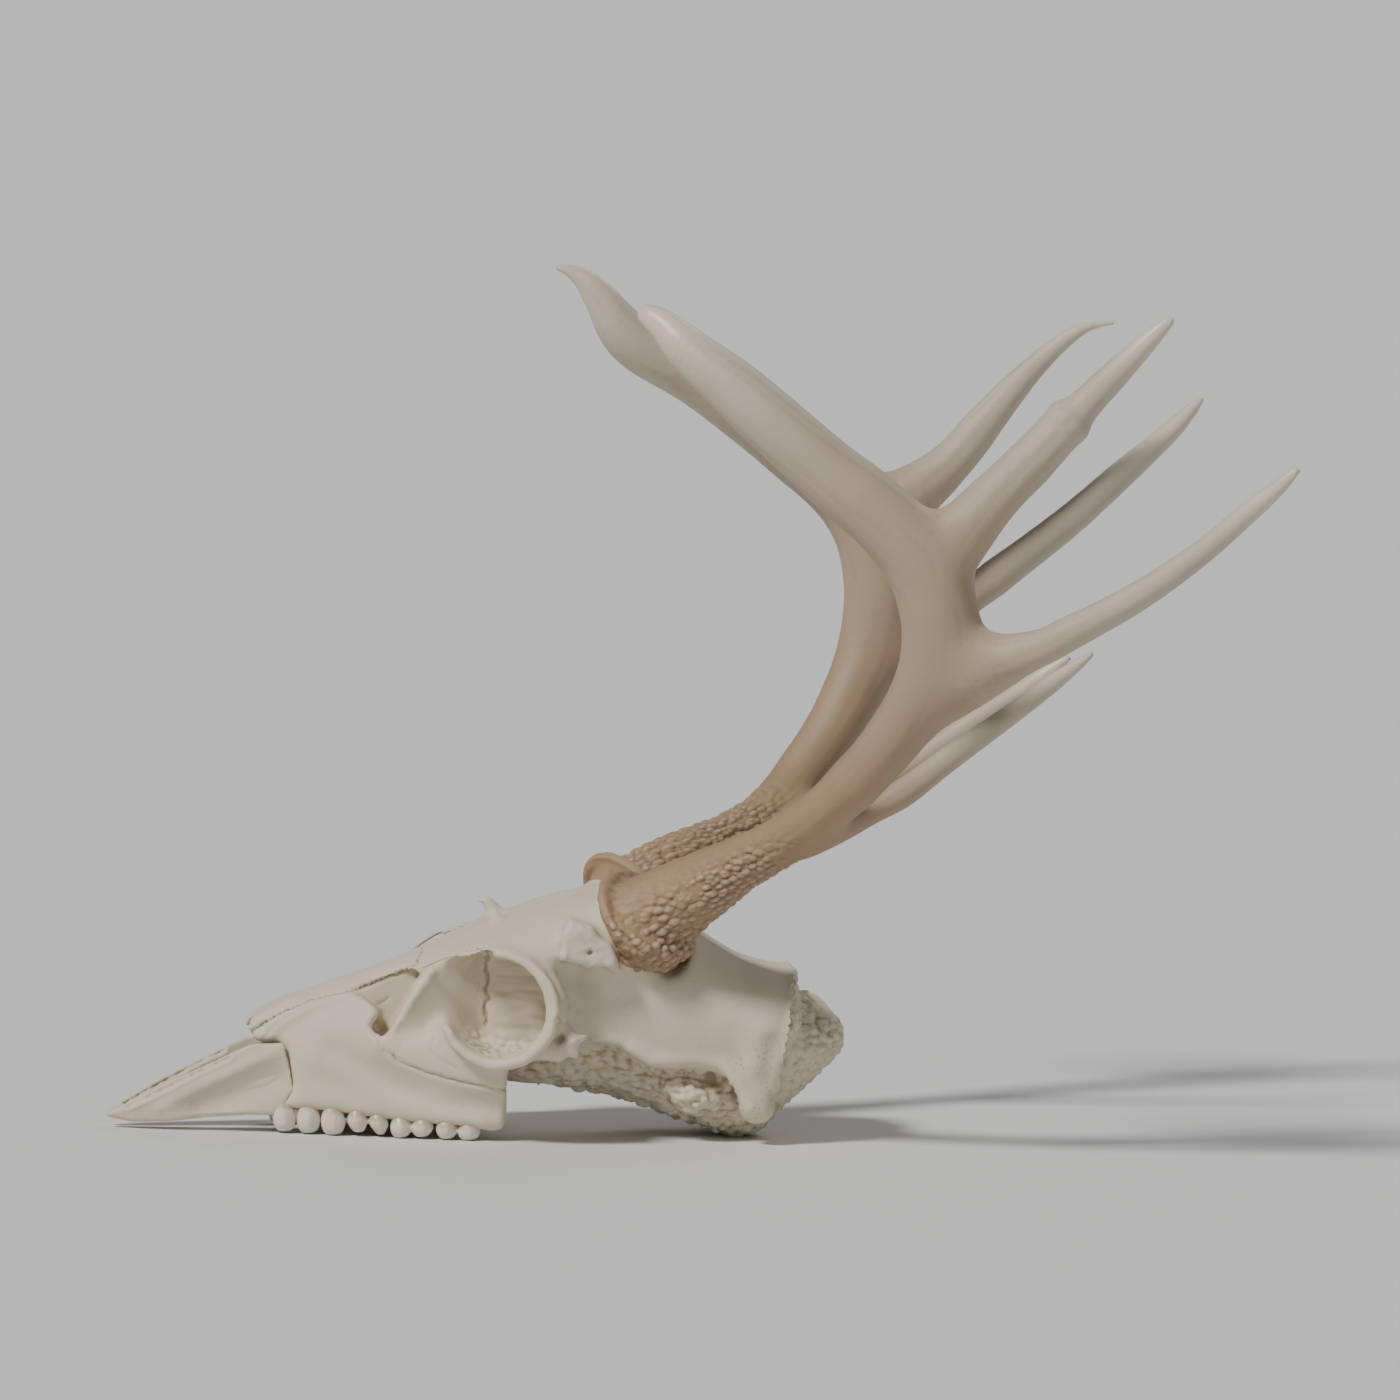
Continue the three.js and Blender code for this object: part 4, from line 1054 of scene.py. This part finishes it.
def nuchal_relief(points):
    """The crest at the back of the head: a raised rim, hollowed behind, with a corner at its top."""
    x, width, z = folded(points)
    rim = line_distance(side_view(points), NUCHAL_LINE)
    heights, lengths = zip(*sorted((height, length) for length, height in NUCHAL_LINE))
    before = x < np.interp(z, heights, lengths) + 0.6
    raised = np.where(before, 1.4 * bell(rim, 1.8), -1.6 * bell(rim, 2.2))
    raised *= smoothstep(10, 14, width) * fall(60, 66, z)
    return raised + 1.6 * spot(points, CREST_CORNER, 3.5)


def condyle_relief(points):
    """A condyle on each side of the opening for the spinal cord, and a notch between them."""
    x, width, z = folded(points)
    beside, above = width - CONDYLE[0], z - CONDYLE[1]
    condyle = np.clip(1.0 - np.hypot(beside / 6.5, (above + 0.5 * beside) / 10.0)**2, 0, 1)
    notch = bell(width, 3.6) * (z < 30) * smoothstep(18, 24, z)
    return smoothstep(262, 268, x) * (1.3 * condyle**0.8 + 1.3 * bell(z - 52, 5) - 1.8 * notch)


def brow_relief(points):
    """The torn plate on the brow with its hole, and a broken place on the orbit's rim."""
    x, width, z = folded(points)
    ragged = shaken_view(points, 0.9 * smoothstep(172, 180, x)[:, None], 3.0, 85)
    plate = smoothstep(-0.4, 0.7, outline_depth(ragged, BROW_PLATE))
    torn = smoothstep(174, 186, x + 0.5 * (z - 76))
    relief = plate * (2.4 + (0.5 + 1.9 * torn) * cloud_noise(points, (5.5, 5.5, 4.0), 87))
    relief -= 2.4 * spot(points, BROW_HOLE, 0.9)
    relief += 1.1 * spot(points, RIM_SCAR, 2.2) * soft_noise(points, 1.9, 89)
    return relief * (width > 34)


def stub_relief(points):
    """The torn end of the cheek stub."""
    place, reach = CHEEK_STUB
    torn = fall(reach * 0.5, reach * 0.9, distance_to(points, place))
    torn *= np.abs(points[:, 1]) > place[1] - 5
    return 0.7 * torn * cloud_noise(points, 3.6, 81, 2)


def sculpt_skull(mesh, settings):
    """Gives the fused skull its smooth forms, borders, sutures, rough base and scars."""
    points, _, edges = mesh_arrays(mesh)
    points = relax(points, edges, 60, 0.6, 1.0 - 0.97 * keep_sharp(points))
    write_points(mesh, relax(points, edges, 4, 0.5))
    points, normals, edges = mesh_arrays(mesh)
    classes = without_islands(bone_classes(points, suture_waviness(points)), edges)
    relief = bone_relief(points, classes, edges, settings)
    relief += crest_relief(points, normals, classes) + porous_relief(points, normals)
    relief += face_relief(points, normals) + nuchal_relief(points) + condyle_relief(points)
    relief += brow_relief(points) + stub_relief(points)
    shade = np.zeros(len(points))
    for side in SIDES.values():
        orbit, dark = orbit_relief(points, side)
        relief += orbit
        shade = np.maximum(shade, dark)
    write_points(mesh, relax(points + normals * relief[:, None], edges, 1, 0.35))
    points, normals, edges = mesh_arrays(mesh)
    # Painted shade in broad hollows and inside the orbits, with the seams between bones, darkens the bone's
    # colour.
    broad = np.clip(hollows(points, normals, edges, 70) - 0.6, 0.0, 4.0)
    paint_hollows(mesh, 0.12 * broad + 0.3 * shade + 0.1 * suture_field(points, classes, edges))
    return classes


def split_bones(mesh, classes):
    """The open surface of each bone, cut from the sculpted skull."""
    count = len(mesh.polygons)
    corners = np.zeros(len(mesh.loops), np.int32)
    mesh.loops.foreach_get("vertex_index", corners)
    starts = np.zeros(count, np.int32)
    mesh.polygons.foreach_get("loop_start", starts)
    quads = np.stack([classes[corners[starts + k]] for k in range(4)], axis=1)
    owners = np.sort(quads, axis=1)[:, 1]
    for number, name in enumerate(SKULL_BONES):
        bm = bmesh.new()
        bm.from_mesh(mesh)
        bm.faces.ensure_lookup_table()
        others = [bm.faces[k] for k in np.flatnonzero(owners != number)]
        bmesh.ops.delete(bm, geom=others, context="FACES")
        bone = bpy.data.meshes.new(name)
        bm.to_mesh(bone)
        bm.free()
        yield name, bone


def walled(name, mesh):
    """The open surface of a bone with its wall added inside."""
    piece = new_piece(name, mesh)
    wall = piece.modifiers.new("wall", "SOLIDIFY")
    wall.thickness = WALL_THICKNESS
    wall.offset = -1.0
    wall.use_rim = True
    return baked(piece, name)


def fused_skull(voxel):
    """The skull bones with their rims and ridges as one closed mesh."""
    bm = merged_nodes(SKULL_BONES, FUSING_SWELL)
    for side in SIDES.values():
        add_orbit_rim(bm, side)
        for rows in (TEMPORAL_RIDGE, *CHEEK_SPLINTERS):
            add_tube(bm, smooth_path(sided(rows, side), 4))
    rough = remeshed(bm, "skull", voxel)
    points, normals, _ = mesh_arrays(rough)
    write_points(rough, open_orbit_front(squash_tooth_stumps(points), normals))
    bm = bmesh.new()
    bm.from_mesh(rough)
    bpy.data.meshes.remove(rough)
    return remeshed(bm, "skull", voxel)


class SKULL_OT_bones(bpy.types.Operator):
    """Build the fifteen bones of the face, braincase and skull base"""
    bl_idname = "deer_skull.bones"
    bl_label = "Skull bones"

    def execute(self, context):
        settings = context.scene.skull_settings
        whole = fused_skull(settings.voxel)
        classes = sculpt_skull(whole, settings)
        smooth = bone_material("Bone", settings)
        rough = bone_material("Rough bone", settings)
        for name, mesh in split_bones(whole, classes):
            material, slot = (rough, "bone_base") if name in BASE_BONES else (smooth, "bone")
            finish_piece(f"{name}_bone", walled(name, mesh), material, slot, [name])
        bpy.data.meshes.remove(whole)
        return {"FINISHED"}


# ------------------------------------------------------------------ premaxillae
def sculpt_premaxilla(mesh):
    """The slit, the ridge and the hollow flank on the outer side of a premaxilla."""
    points, _, edges = mesh_arrays(mesh)
    back = smoothstep(60, 66, points[:, 0])
    write_points(mesh, relax(points, edges, 7, 0.6, 1.0 - 0.8 * back))
    points, normals, edges = mesh_arrays(mesh)
    slit, ridge, flank = [line_distance(side_view(points), line)
                          for line in (PREMAXILLA_SLIT, PREMAXILLA_RIDGE, PREMAXILLA_FLANK)]
    relief = 0.35 * bell(slit - 1.7, 0.7) + 0.7 * bell(ridge, 2.4) - 2.0 * bell(flank, 5.5)
    relief -= bell(slit, 0.75) * (0.9 + 0.7 * soft_noise(points, 2.2, 103))
    relief *= smoothstep(0.1, 0.4, np.abs(normals[:, 1]))
    relief += 0.15 * cloud_noise(points, 8.0, 101)
    write_points(mesh, points + normals * relief[:, None])
    paint_hollows(mesh)


class SKULL_OT_premaxillae(bpy.types.Operator):
    """Build the two slender bones at the front of the nose"""
    bl_idname = "deer_skull.premaxillae"
    bl_label = "Premaxillae"

    def execute(self, context):
        settings = context.scene.skull_settings
        material = bone_material("Bone", settings)
        for side in SIDES:
            node = f"premaxilla_{side}"
            mesh = remeshed(merged_nodes([node], PREMAXILLA_SWELL), node, settings.voxel * 0.75)
            sculpt_premaxilla(mesh)
            finish_piece(f"{node}_bone", mesh, material, "bone", [node])
        return {"FINISHED"}


# ------------------------------------------------------------------ teeth
def crown_ring(bm, lobe, side, height, scale, ribs):
    """A closed ring of vertices round a crown lobe at one height."""
    x, length, _, middle = lobe[:4]
    ring = bmesh.ops.create_circle(bm, cap_ends=False, segments=36, radius=1.0)["verts"]
    for vertex in ring:
        angle = math.atan2(vertex.co.y, vertex.co.x)
        outer = -math.sin(angle)
        flare = sum(math.exp(-((angle - centre) / 0.16)**2) for centre in OUTER_RIBS)
        back = sum(math.exp(-((angle - centre) / 0.2)**2) for centre in INNER_GROOVES)
        reach = scale * (1.0 + 0.07 * ribs * flare - 0.05 * ribs * back) + 0.02 * outer
        squared = (abs(math.cos(angle))**3 + abs(math.sin(angle))**3)**(-0.16)
        dx = length / 2 * reach * squared * math.cos(angle)
        dy = TOOTH_HALF_WIDTH * reach * squared * math.sin(angle)
        vertex.co = Vector(to_world([x + dx, side * (middle - dy), height]))
    return ring


def ring_edges(ring):
    """The edges between the vertices of a ring."""
    return list({edge for vertex in ring for edge in vertex.link_edges
                 if edge.other_vert(vertex) in ring})


def add_lobe(bm, lobe, side):
    """One crown lobe from its neck down to the worn chewing surface."""
    x, length, bottom, middle, lean, blunt = lobe
    neck = np.interp(x, *zip(*ALVEOLAR_EDGE)) + TOOTH_ROOT
    rings = []
    for part, scale, ribs in CROWN_PROFILE:
        pointed = 1.0 - (1.0 - blunt) * smoothstep(0.4, 1.0, part)
        shifted = (x + lean * part**2, length, bottom, middle)
        height = neck - part * (neck - bottom)
        rings.append(crown_ring(bm, shifted, side, height, scale * pointed, ribs))
    for upper, lower in zip(rings[:-1], rings[1:]):
        bmesh.ops.bridge_loops(bm, edges=ring_edges(upper) + ring_edges(lower))
    for ring in (rings[0], rings[-1]):
        bmesh.ops.contextual_create(bm, geom=ring_edges(ring))


def tooth_mesh(name, lobes, side):
    """One tooth with its lobes, painted for stain by the gum and in the grooves."""
    bm = bmesh.new()
    for lobe in lobes:
        add_lobe(bm, lobe, side)
    bmesh.ops.recalc_face_normals(bm, faces=bm.faces)
    mesh = remeshed(bm, name, TOOTH_VOXEL)
    points, normals, edges = mesh_arrays(mesh)
    points = relax(points, edges, 5, 0.5)
    points += normals * (0.12 * cloud_noise(points, 2.2, 141))[:, None]
    write_points(mesh, points)
    points, normals, edges = mesh_arrays(mesh)
    paint(mesh, "hollow", hollows(points, normals, edges, 12) * 1.2)
    above = points[:, 2] - alveolar_height(points)
    paint(mesh, "gum", smoothstep(-4.5, 1.0, above + 0.8 * soft_noise(points, 3.0, 143)))
    return mesh


class SKULL_OT_teeth(bpy.types.Operator):
    """Build the two rows of upper cheek teeth"""
    bl_idname = "deer_skull.teeth"
    bl_label = "Cheek teeth"

    def execute(self, context):
        material = enamel_material(context.scene.skull_settings)
        for side_name, side in SIDES.items():
            for tooth, lobes in TOOTH_LOBES.items():
                name = f"{tooth}_{side_name}"
                finish_piece(name, tooth_mesh(name, lobes, side), material, "bone", [])
        return {"FINISHED"}


# ------------------------------------------------------------------ antlers
def burr_directions(path):
    """Three directions at the burr: along the beam, down and outwards."""
    along = path[8, :3] - path[0, :3]
    along /= np.linalg.norm(along)
    down = np.array([0.0, 0.0, -1.0])
    down -= along * (down @ along)
    down /= np.linalg.norm(down)
    return along, down, np.cross(along, down)


def add_burr(bm, path, side):
    """Adds the bead round the foot of the antler, thick and lumpy below and behind."""
    along, down, outwards = burr_directions(path)
    middle = np.array(BURR_MIDDLE) * (1.0, side, 1.0) + along * BURR_LIFT
    rows = []
    for turn in np.linspace(0, 2 * math.pi, 40, endpoint=False):
        direction = down * math.cos(turn) + outwards * math.sin(turn)
        heavy = (0.5 + 0.5 * math.cos(turn))**2
        place = middle + direction * (BURR_RING - 6.4 * heavy) + along * 8.5 * heavy
        rows.append((*place, 2.3 + 2.8 * heavy))
    add_tube(bm, np.array(rows), closed=True)


def shaft_coordinates(points, paths):
    """For each point: its shaft, distance and share along it, and offset from its middle line."""
    best = np.full(len(points), 1e9)
    along = np.zeros(len(points))
    share = np.zeros(len(points))
    shaft = np.zeros(len(points), int)
    offset = np.zeros((len(points), 3))
    for number, path in enumerate(paths):
        steps = np.linalg.norm(np.diff(path[:, :3], axis=0), axis=1)
        run = np.concatenate([[0.0], np.cumsum(steps)])
        for k in range(len(path) - 1):
            start, line = path[k, :3], path[k + 1, :3] - path[k, :3]
            t = np.clip((points - start) @ line / (line @ line), 0.0, 1.0)
            from_axis = points - start - t[:, None] * line
            gap = np.linalg.norm(from_axis, axis=1) - path[k, 3] - t * (path[k + 1, 3] - path[k, 3])
            closer = gap < best
            best = np.where(closer, gap, best)
            along = np.where(closer, run[k] + t * steps[k], along)
            share = np.where(closer, (run[k] + t * steps[k]) / run[-1], share)
            shaft = np.where(closer, number, shaft)
            offset[closer] = from_axis[closer]
    return shaft, along, share, offset


def refine_base(mesh, axis, end):
    """Halves the edges of the pearled foot of the antler."""
    bm = bmesh.new()
    bm.from_mesh(mesh)
    points = to_skull(np.array([vertex.co for vertex in bm.verts]))
    near = set(np.flatnonzero(points @ axis < end))
    edges = [edge for edge in bm.edges if all(vertex.index in near for vertex in edge.verts)]
    bmesh.ops.subdivide_edges(bm, edges=edges, cuts=1, use_grid_fill=True, smooth=0.0)
    bm.to_mesh(mesh)
    bm.free()


def pearls(points, along_axis, size, seed):
    """Rows of beads that are longer along the axis, about 0 to 1."""
    down = np.cross(along_axis, [0.0, 1.0, 0.0])
    down /= np.linalg.norm(down)
    third = np.cross(along_axis, down)
    turned = points @ np.stack([along_axis, down, third], axis=1)
    turned[:, 0] += 0.55 * turned[:, 1]
    return np.clip(1.0 - (cell_distance(turned, size, seed) / 0.62)**2, 0.0, 1.0)**0.7


def nearest(points, places):
    """Distance to the nearest of some places."""
    return np.min([np.linalg.norm(points - place, axis=1) for place in places], axis=0)


def smooth_antler(mesh, paths):
    """Smooths the forks most and the tips least."""
    points, _, edges = mesh_arrays(mesh)
    tips = nearest(points, [path[-1, :3] for path in paths[:4]])
    points = relax(points, edges, 10, 0.6, 0.08 + 0.92 * smoothstep(14.0, 40.0, tips))
    forks = nearest(points, [path[0, :3] for path in paths[1:]])
    write_points(mesh, relax(points, edges, 110, 0.6, fall(26.0, 46.0, forks)))


def pearl_relief(points, axis, length):
    """Pearls of the beam's foot, larger near the burr."""
    large = pearls(points, axis, (4.4, 3.0, 3.0), 201)
    small = pearls(points, axis, (3.5, 2.3, 2.3), 207)
    near = fall(26.0, 50.0, length)
    return large * near + small * (1.0 - near) * 0.85 - 0.2


def burr_relief(points, length, heavy, on_beam):
    """The burr's bead, smooth above and in front and lumpy below, between two grooves."""
    band = fall(8.0, 13.0, length)
    relief = band * (0.15 + 1.6 * heavy) * (0.55 - cell_distance(points, 4.2, 211)**2)
    relief += band * (1.0 - heavy) * 0.6 * bell(length - 8.9, 1.6)
    relief -= (1.0 - heavy) * 1.6 * bell(length - 13.0, 1.5) * on_beam
    return relief - (1.0 - 0.6 * heavy) * 1.4 * fall(4.5, 6.5, length)


def groove_noise(offset, along):
    """Noise drawn out along the shafts."""
    off_axis = (offset + along[:, None] * np.array([0.05, 0.03, 0.04])) @ TURNED_AXES
    return soft_noise(off_axis, 2.6, 221) + 0.6 * soft_noise(off_axis @ TURNED_AXES, 1.5, 222)


def paint_antler(mesh, on_beam, shaft, share, rough, grooves):
    """Stores the way to the tips, hollows, raised pearls and fibres for the material."""
    points, normals, edges = mesh_arrays(mesh)
    deep = hollows(points, normals, edges, 8)
    start = ROOT_TONES[shaft]
    tone = np.where(on_beam, 0.7 * share + 0.3 * smoothstep(0.75, 1.0, share), start + (1.0 - start) * share)
    paint(mesh, "along", np.clip(relax(tone, edges, 25, 0.5), 0, 1))
    paint(mesh, "hollow", deep * 1.7)
    paint(mesh, "raised", -deep * 1.8 * (0.35 + 0.65 * rough))
    paint(mesh, "fibre", smoothstep(0.1, 0.9, -grooves))


def sculpt_antler(mesh, side, paths, settings):
    """Pearls at the foot, fine grooves along the beam and smooth tips."""
    smooth_antler(mesh, paths)
    axis = paths[0][4 * SHAFT_STEPS, :3] - paths[0][0, :3]
    axis /= np.linalg.norm(axis)
    foot = paths[0][0, :3] @ axis
    refine_base(mesh, axis, foot + PEARLED_LENGTH)
    points, _, edges = mesh_arrays(mesh)
    write_points(mesh, relax(points, edges, 3, 0.5))
    points, normals, edges = mesh_arrays(mesh)
    shaft, along, share, offset = shaft_coordinates(points, paths[:4])
    on_beam = shaft == 0
    length = points @ axis - foot

    facing = normals @ (PEARL_SIDES[side] / np.linalg.norm(PEARL_SIDES[side]))
    rough = on_beam * fall(PEARLED_LENGTH - 30, PEARLED_LENGTH + 8, length)
    rough *= 0.22 + 0.78 * smoothstep(-0.5, -0.1, facing)
    band = fall(8.0, 13.0, length)
    heavy = smoothstep(-0.1, 0.6, -normals[:, 2])
    relief = rough * settings.pearl_height / MM * pearl_relief(points, axis, length)
    relief *= 1.0 - band * (1.0 - 0.4 * heavy)
    relief += burr_relief(points, length, heavy, on_beam)
    grooves = groove_noise(offset, along)
    calm = np.where(on_beam, smoothstep(0.75, 0.95, share), smoothstep(0.55, 0.95, share))
    relief += 0.10 * grooves * (1.0 - calm) * (1.0 - rough)
    relief += 0.3 * cloud_noise(points, 26.0, 231) * (1.0 - band)
    write_points(mesh, points + normals * relief[:, None])
    paint_antler(mesh, on_beam, shaft, share, rough, grooves)


class SKULL_OT_antlers(bpy.types.Operator):
    """Build both antlers, each in one piece from the burr to its tips"""
    bl_idname = "deer_skull.antlers"
    bl_label = "Antlers"

    def execute(self, context):
        settings = context.scene.antler_settings
        material = antler_material(settings)
        for side_name, side in SIDES.items():
            shafts = ANTLERS[side_name].values()
            paths = [smooth_path(sided(rows, side), SHAFT_STEPS) for rows in shafts]
            bm = merged_nodes([f"burr_{side_name}"], 0.0)
            for path in paths:
                add_tube(bm, path)
            add_burr(bm, paths[0], side)
            mesh = remeshed(bm, f"antler_{side_name}", settings.voxel)
            sculpt_antler(mesh, side, paths, settings)
            nodes = [f"{node}_{side_name}" for node in ANTLER_NODES]
            finish_piece(f"antler_{side_name}", mesh, material, "antler", nodes)
        return {"FINISHED"}


# ------------------------------------------------------------------ studio
CAMERA_TARGET = Vector((0.0059, 0.0, 0.166))
CAMERA_DISTANCE = 14.778
CAMERA_LENS = 1000.0
CAMERA_AZIMUTH = math.radians(-4.5)
CAMERA_ELEVATION = math.radians(6.0)
# Even lights: place they shine from, share of the key light and softness in degrees.
SUNS = {
    "key": ((-1.15, -0.85, 1.75), 1.0, 12.0),
    "fill": ((0.3, -1.9, 0.5), 0.1, 40.0),
    "rim": ((0.9, 1.3, 1.2), 0.22, 25.0),
}


def camera_axes():
    """Right, up and backward directions of the camera in the world."""
    a, e = CAMERA_AZIMUTH, CAMERA_ELEVATION
    right = Vector((math.cos(a), math.sin(a), 0.0))
    backward = Vector((math.sin(a) * math.cos(e), -math.cos(a) * math.cos(e), math.sin(e)))
    tilt = Matrix.Rotation(REST_TILT, 3, "Y")
    return tilt @ right, tilt @ backward.cross(right), tilt @ backward


def add_camera():
    """Adds the camera that looks at the left side of the head from far away."""
    right, up, backward = camera_axes()
    camera = bpy.data.cameras.new("camera")
    camera.lens = CAMERA_LENS
    camera.sensor_width = 36.0
    camera.clip_end = 100.0
    holder = bpy.data.objects.new("camera", camera)
    bpy.context.collection.objects.link(holder)
    turn = Matrix((right, up, backward)).transposed().to_4x4()
    holder.matrix_world = Matrix.Translation(CAMERA_TARGET + backward * CAMERA_DISTANCE) @ turn
    bpy.context.scene.camera = holder


def add_floor(colour):
    """Adds a wide floor with a faintly clouded colour."""
    mesh = bpy.data.meshes.new("floor")
    bm = bmesh.new()
    bmesh.ops.create_grid(bm, x_segments=1, y_segments=1, size=80.0)
    bm.to_mesh(mesh)
    bm.free()
    material, tree, shader = surface_material("Studio floor", 0.85)
    clouds = noise_mask(tree, (-400, 0), own_place(tree, (-600, 0)), 3.0, 3.0)
    shade = mixed(tree, (-150, 0), clouds, colour, tinted(colour, 0.96))
    tree.links.new(shade, shader.inputs["Base Color"])
    mesh.materials.append(material)
    new_piece("floor", mesh)


def add_sun(name, place, strength, softness):
    """Adds an even light from the side of place, with shadows as soft as the angle."""
    lamp = bpy.data.lights.new(name, "SUN")
    lamp.angle = math.radians(softness)
    lamp.energy = strength
    holder = bpy.data.objects.new(name, lamp)
    bpy.context.collection.objects.link(holder)
    holder.location = place
    holder.rotation_euler = (CAMERA_TARGET - Vector(place)).to_track_quat("-Z", "Y").to_euler()


class SKULL_OT_stage(bpy.types.Operator):
    """Add the floor, the soft studio light and the camera"""
    bl_idname = "deer_skull.stage"
    bl_label = "Studio"

    def execute(self, context):
        settings = context.scene.stage_settings
        add_camera()
        add_floor(tuple(settings.floor_colour))
        for name, (place, share, softness) in SUNS.items():
            add_sun(name, place, settings.key_strength * share, softness)
        world = bpy.data.worlds.new("studio")
        world.use_nodes = True
        background = world.node_tree.nodes["Background"]
        background.inputs["Color"].default_value = (0.9, 0.93, 1.0, 1.0)
        background.inputs["Strength"].default_value = 0.16
        context.scene.world = world
        return {"FINISHED"}


class SKULL_PT_panel(bpy.types.Panel):
    """Buttons and settings of the deer skull"""
    bl_idname = "SKULL_PT_panel"
    bl_label = "Deer Skull"
    bl_space_type = "VIEW_3D"
    bl_region_type = "UI"
    bl_category = "Skull"

    def draw(self, context):
        for name in SETTINGS:
            group = getattr(context.scene, name)
            box = self.layout.box()
            for key in group.bl_rna.properties.keys():
                if key not in ("rna_type", "name"):
                    box.prop(group, key)
        for operator in OPERATORS:
            self.layout.operator(operator.bl_idname)


OPERATORS = (SKULL_OT_bones, SKULL_OT_premaxillae, SKULL_OT_teeth, SKULL_OT_antlers, SKULL_OT_stage)
SETTINGS = {"skull_settings": SkullSettings, "antler_settings": AntlerSettings,
            "stage_settings": StageSettings}
CLASSES = (*SETTINGS.values(), *OPERATORS, SKULL_PT_panel)


def register():
    for cls in CLASSES:
        bpy.utils.register_class(cls)
    for name, kind in SETTINGS.items():
        setattr(bpy.types.Scene, name, bpy.props.PointerProperty(type=kind))


def unregister():
    for name in SETTINGS:
        delattr(bpy.types.Scene, name)
    for cls in reversed(CLASSES):
        bpy.utils.unregister_class(cls)


def main():
    register()
    bpy.ops.deer_skull.bones()
    bpy.ops.deer_skull.premaxillae()
    bpy.ops.deer_skull.teeth()
    bpy.ops.deer_skull.antlers()
    bpy.ops.deer_skull.stage()


if __name__ == "__main__":
    main()
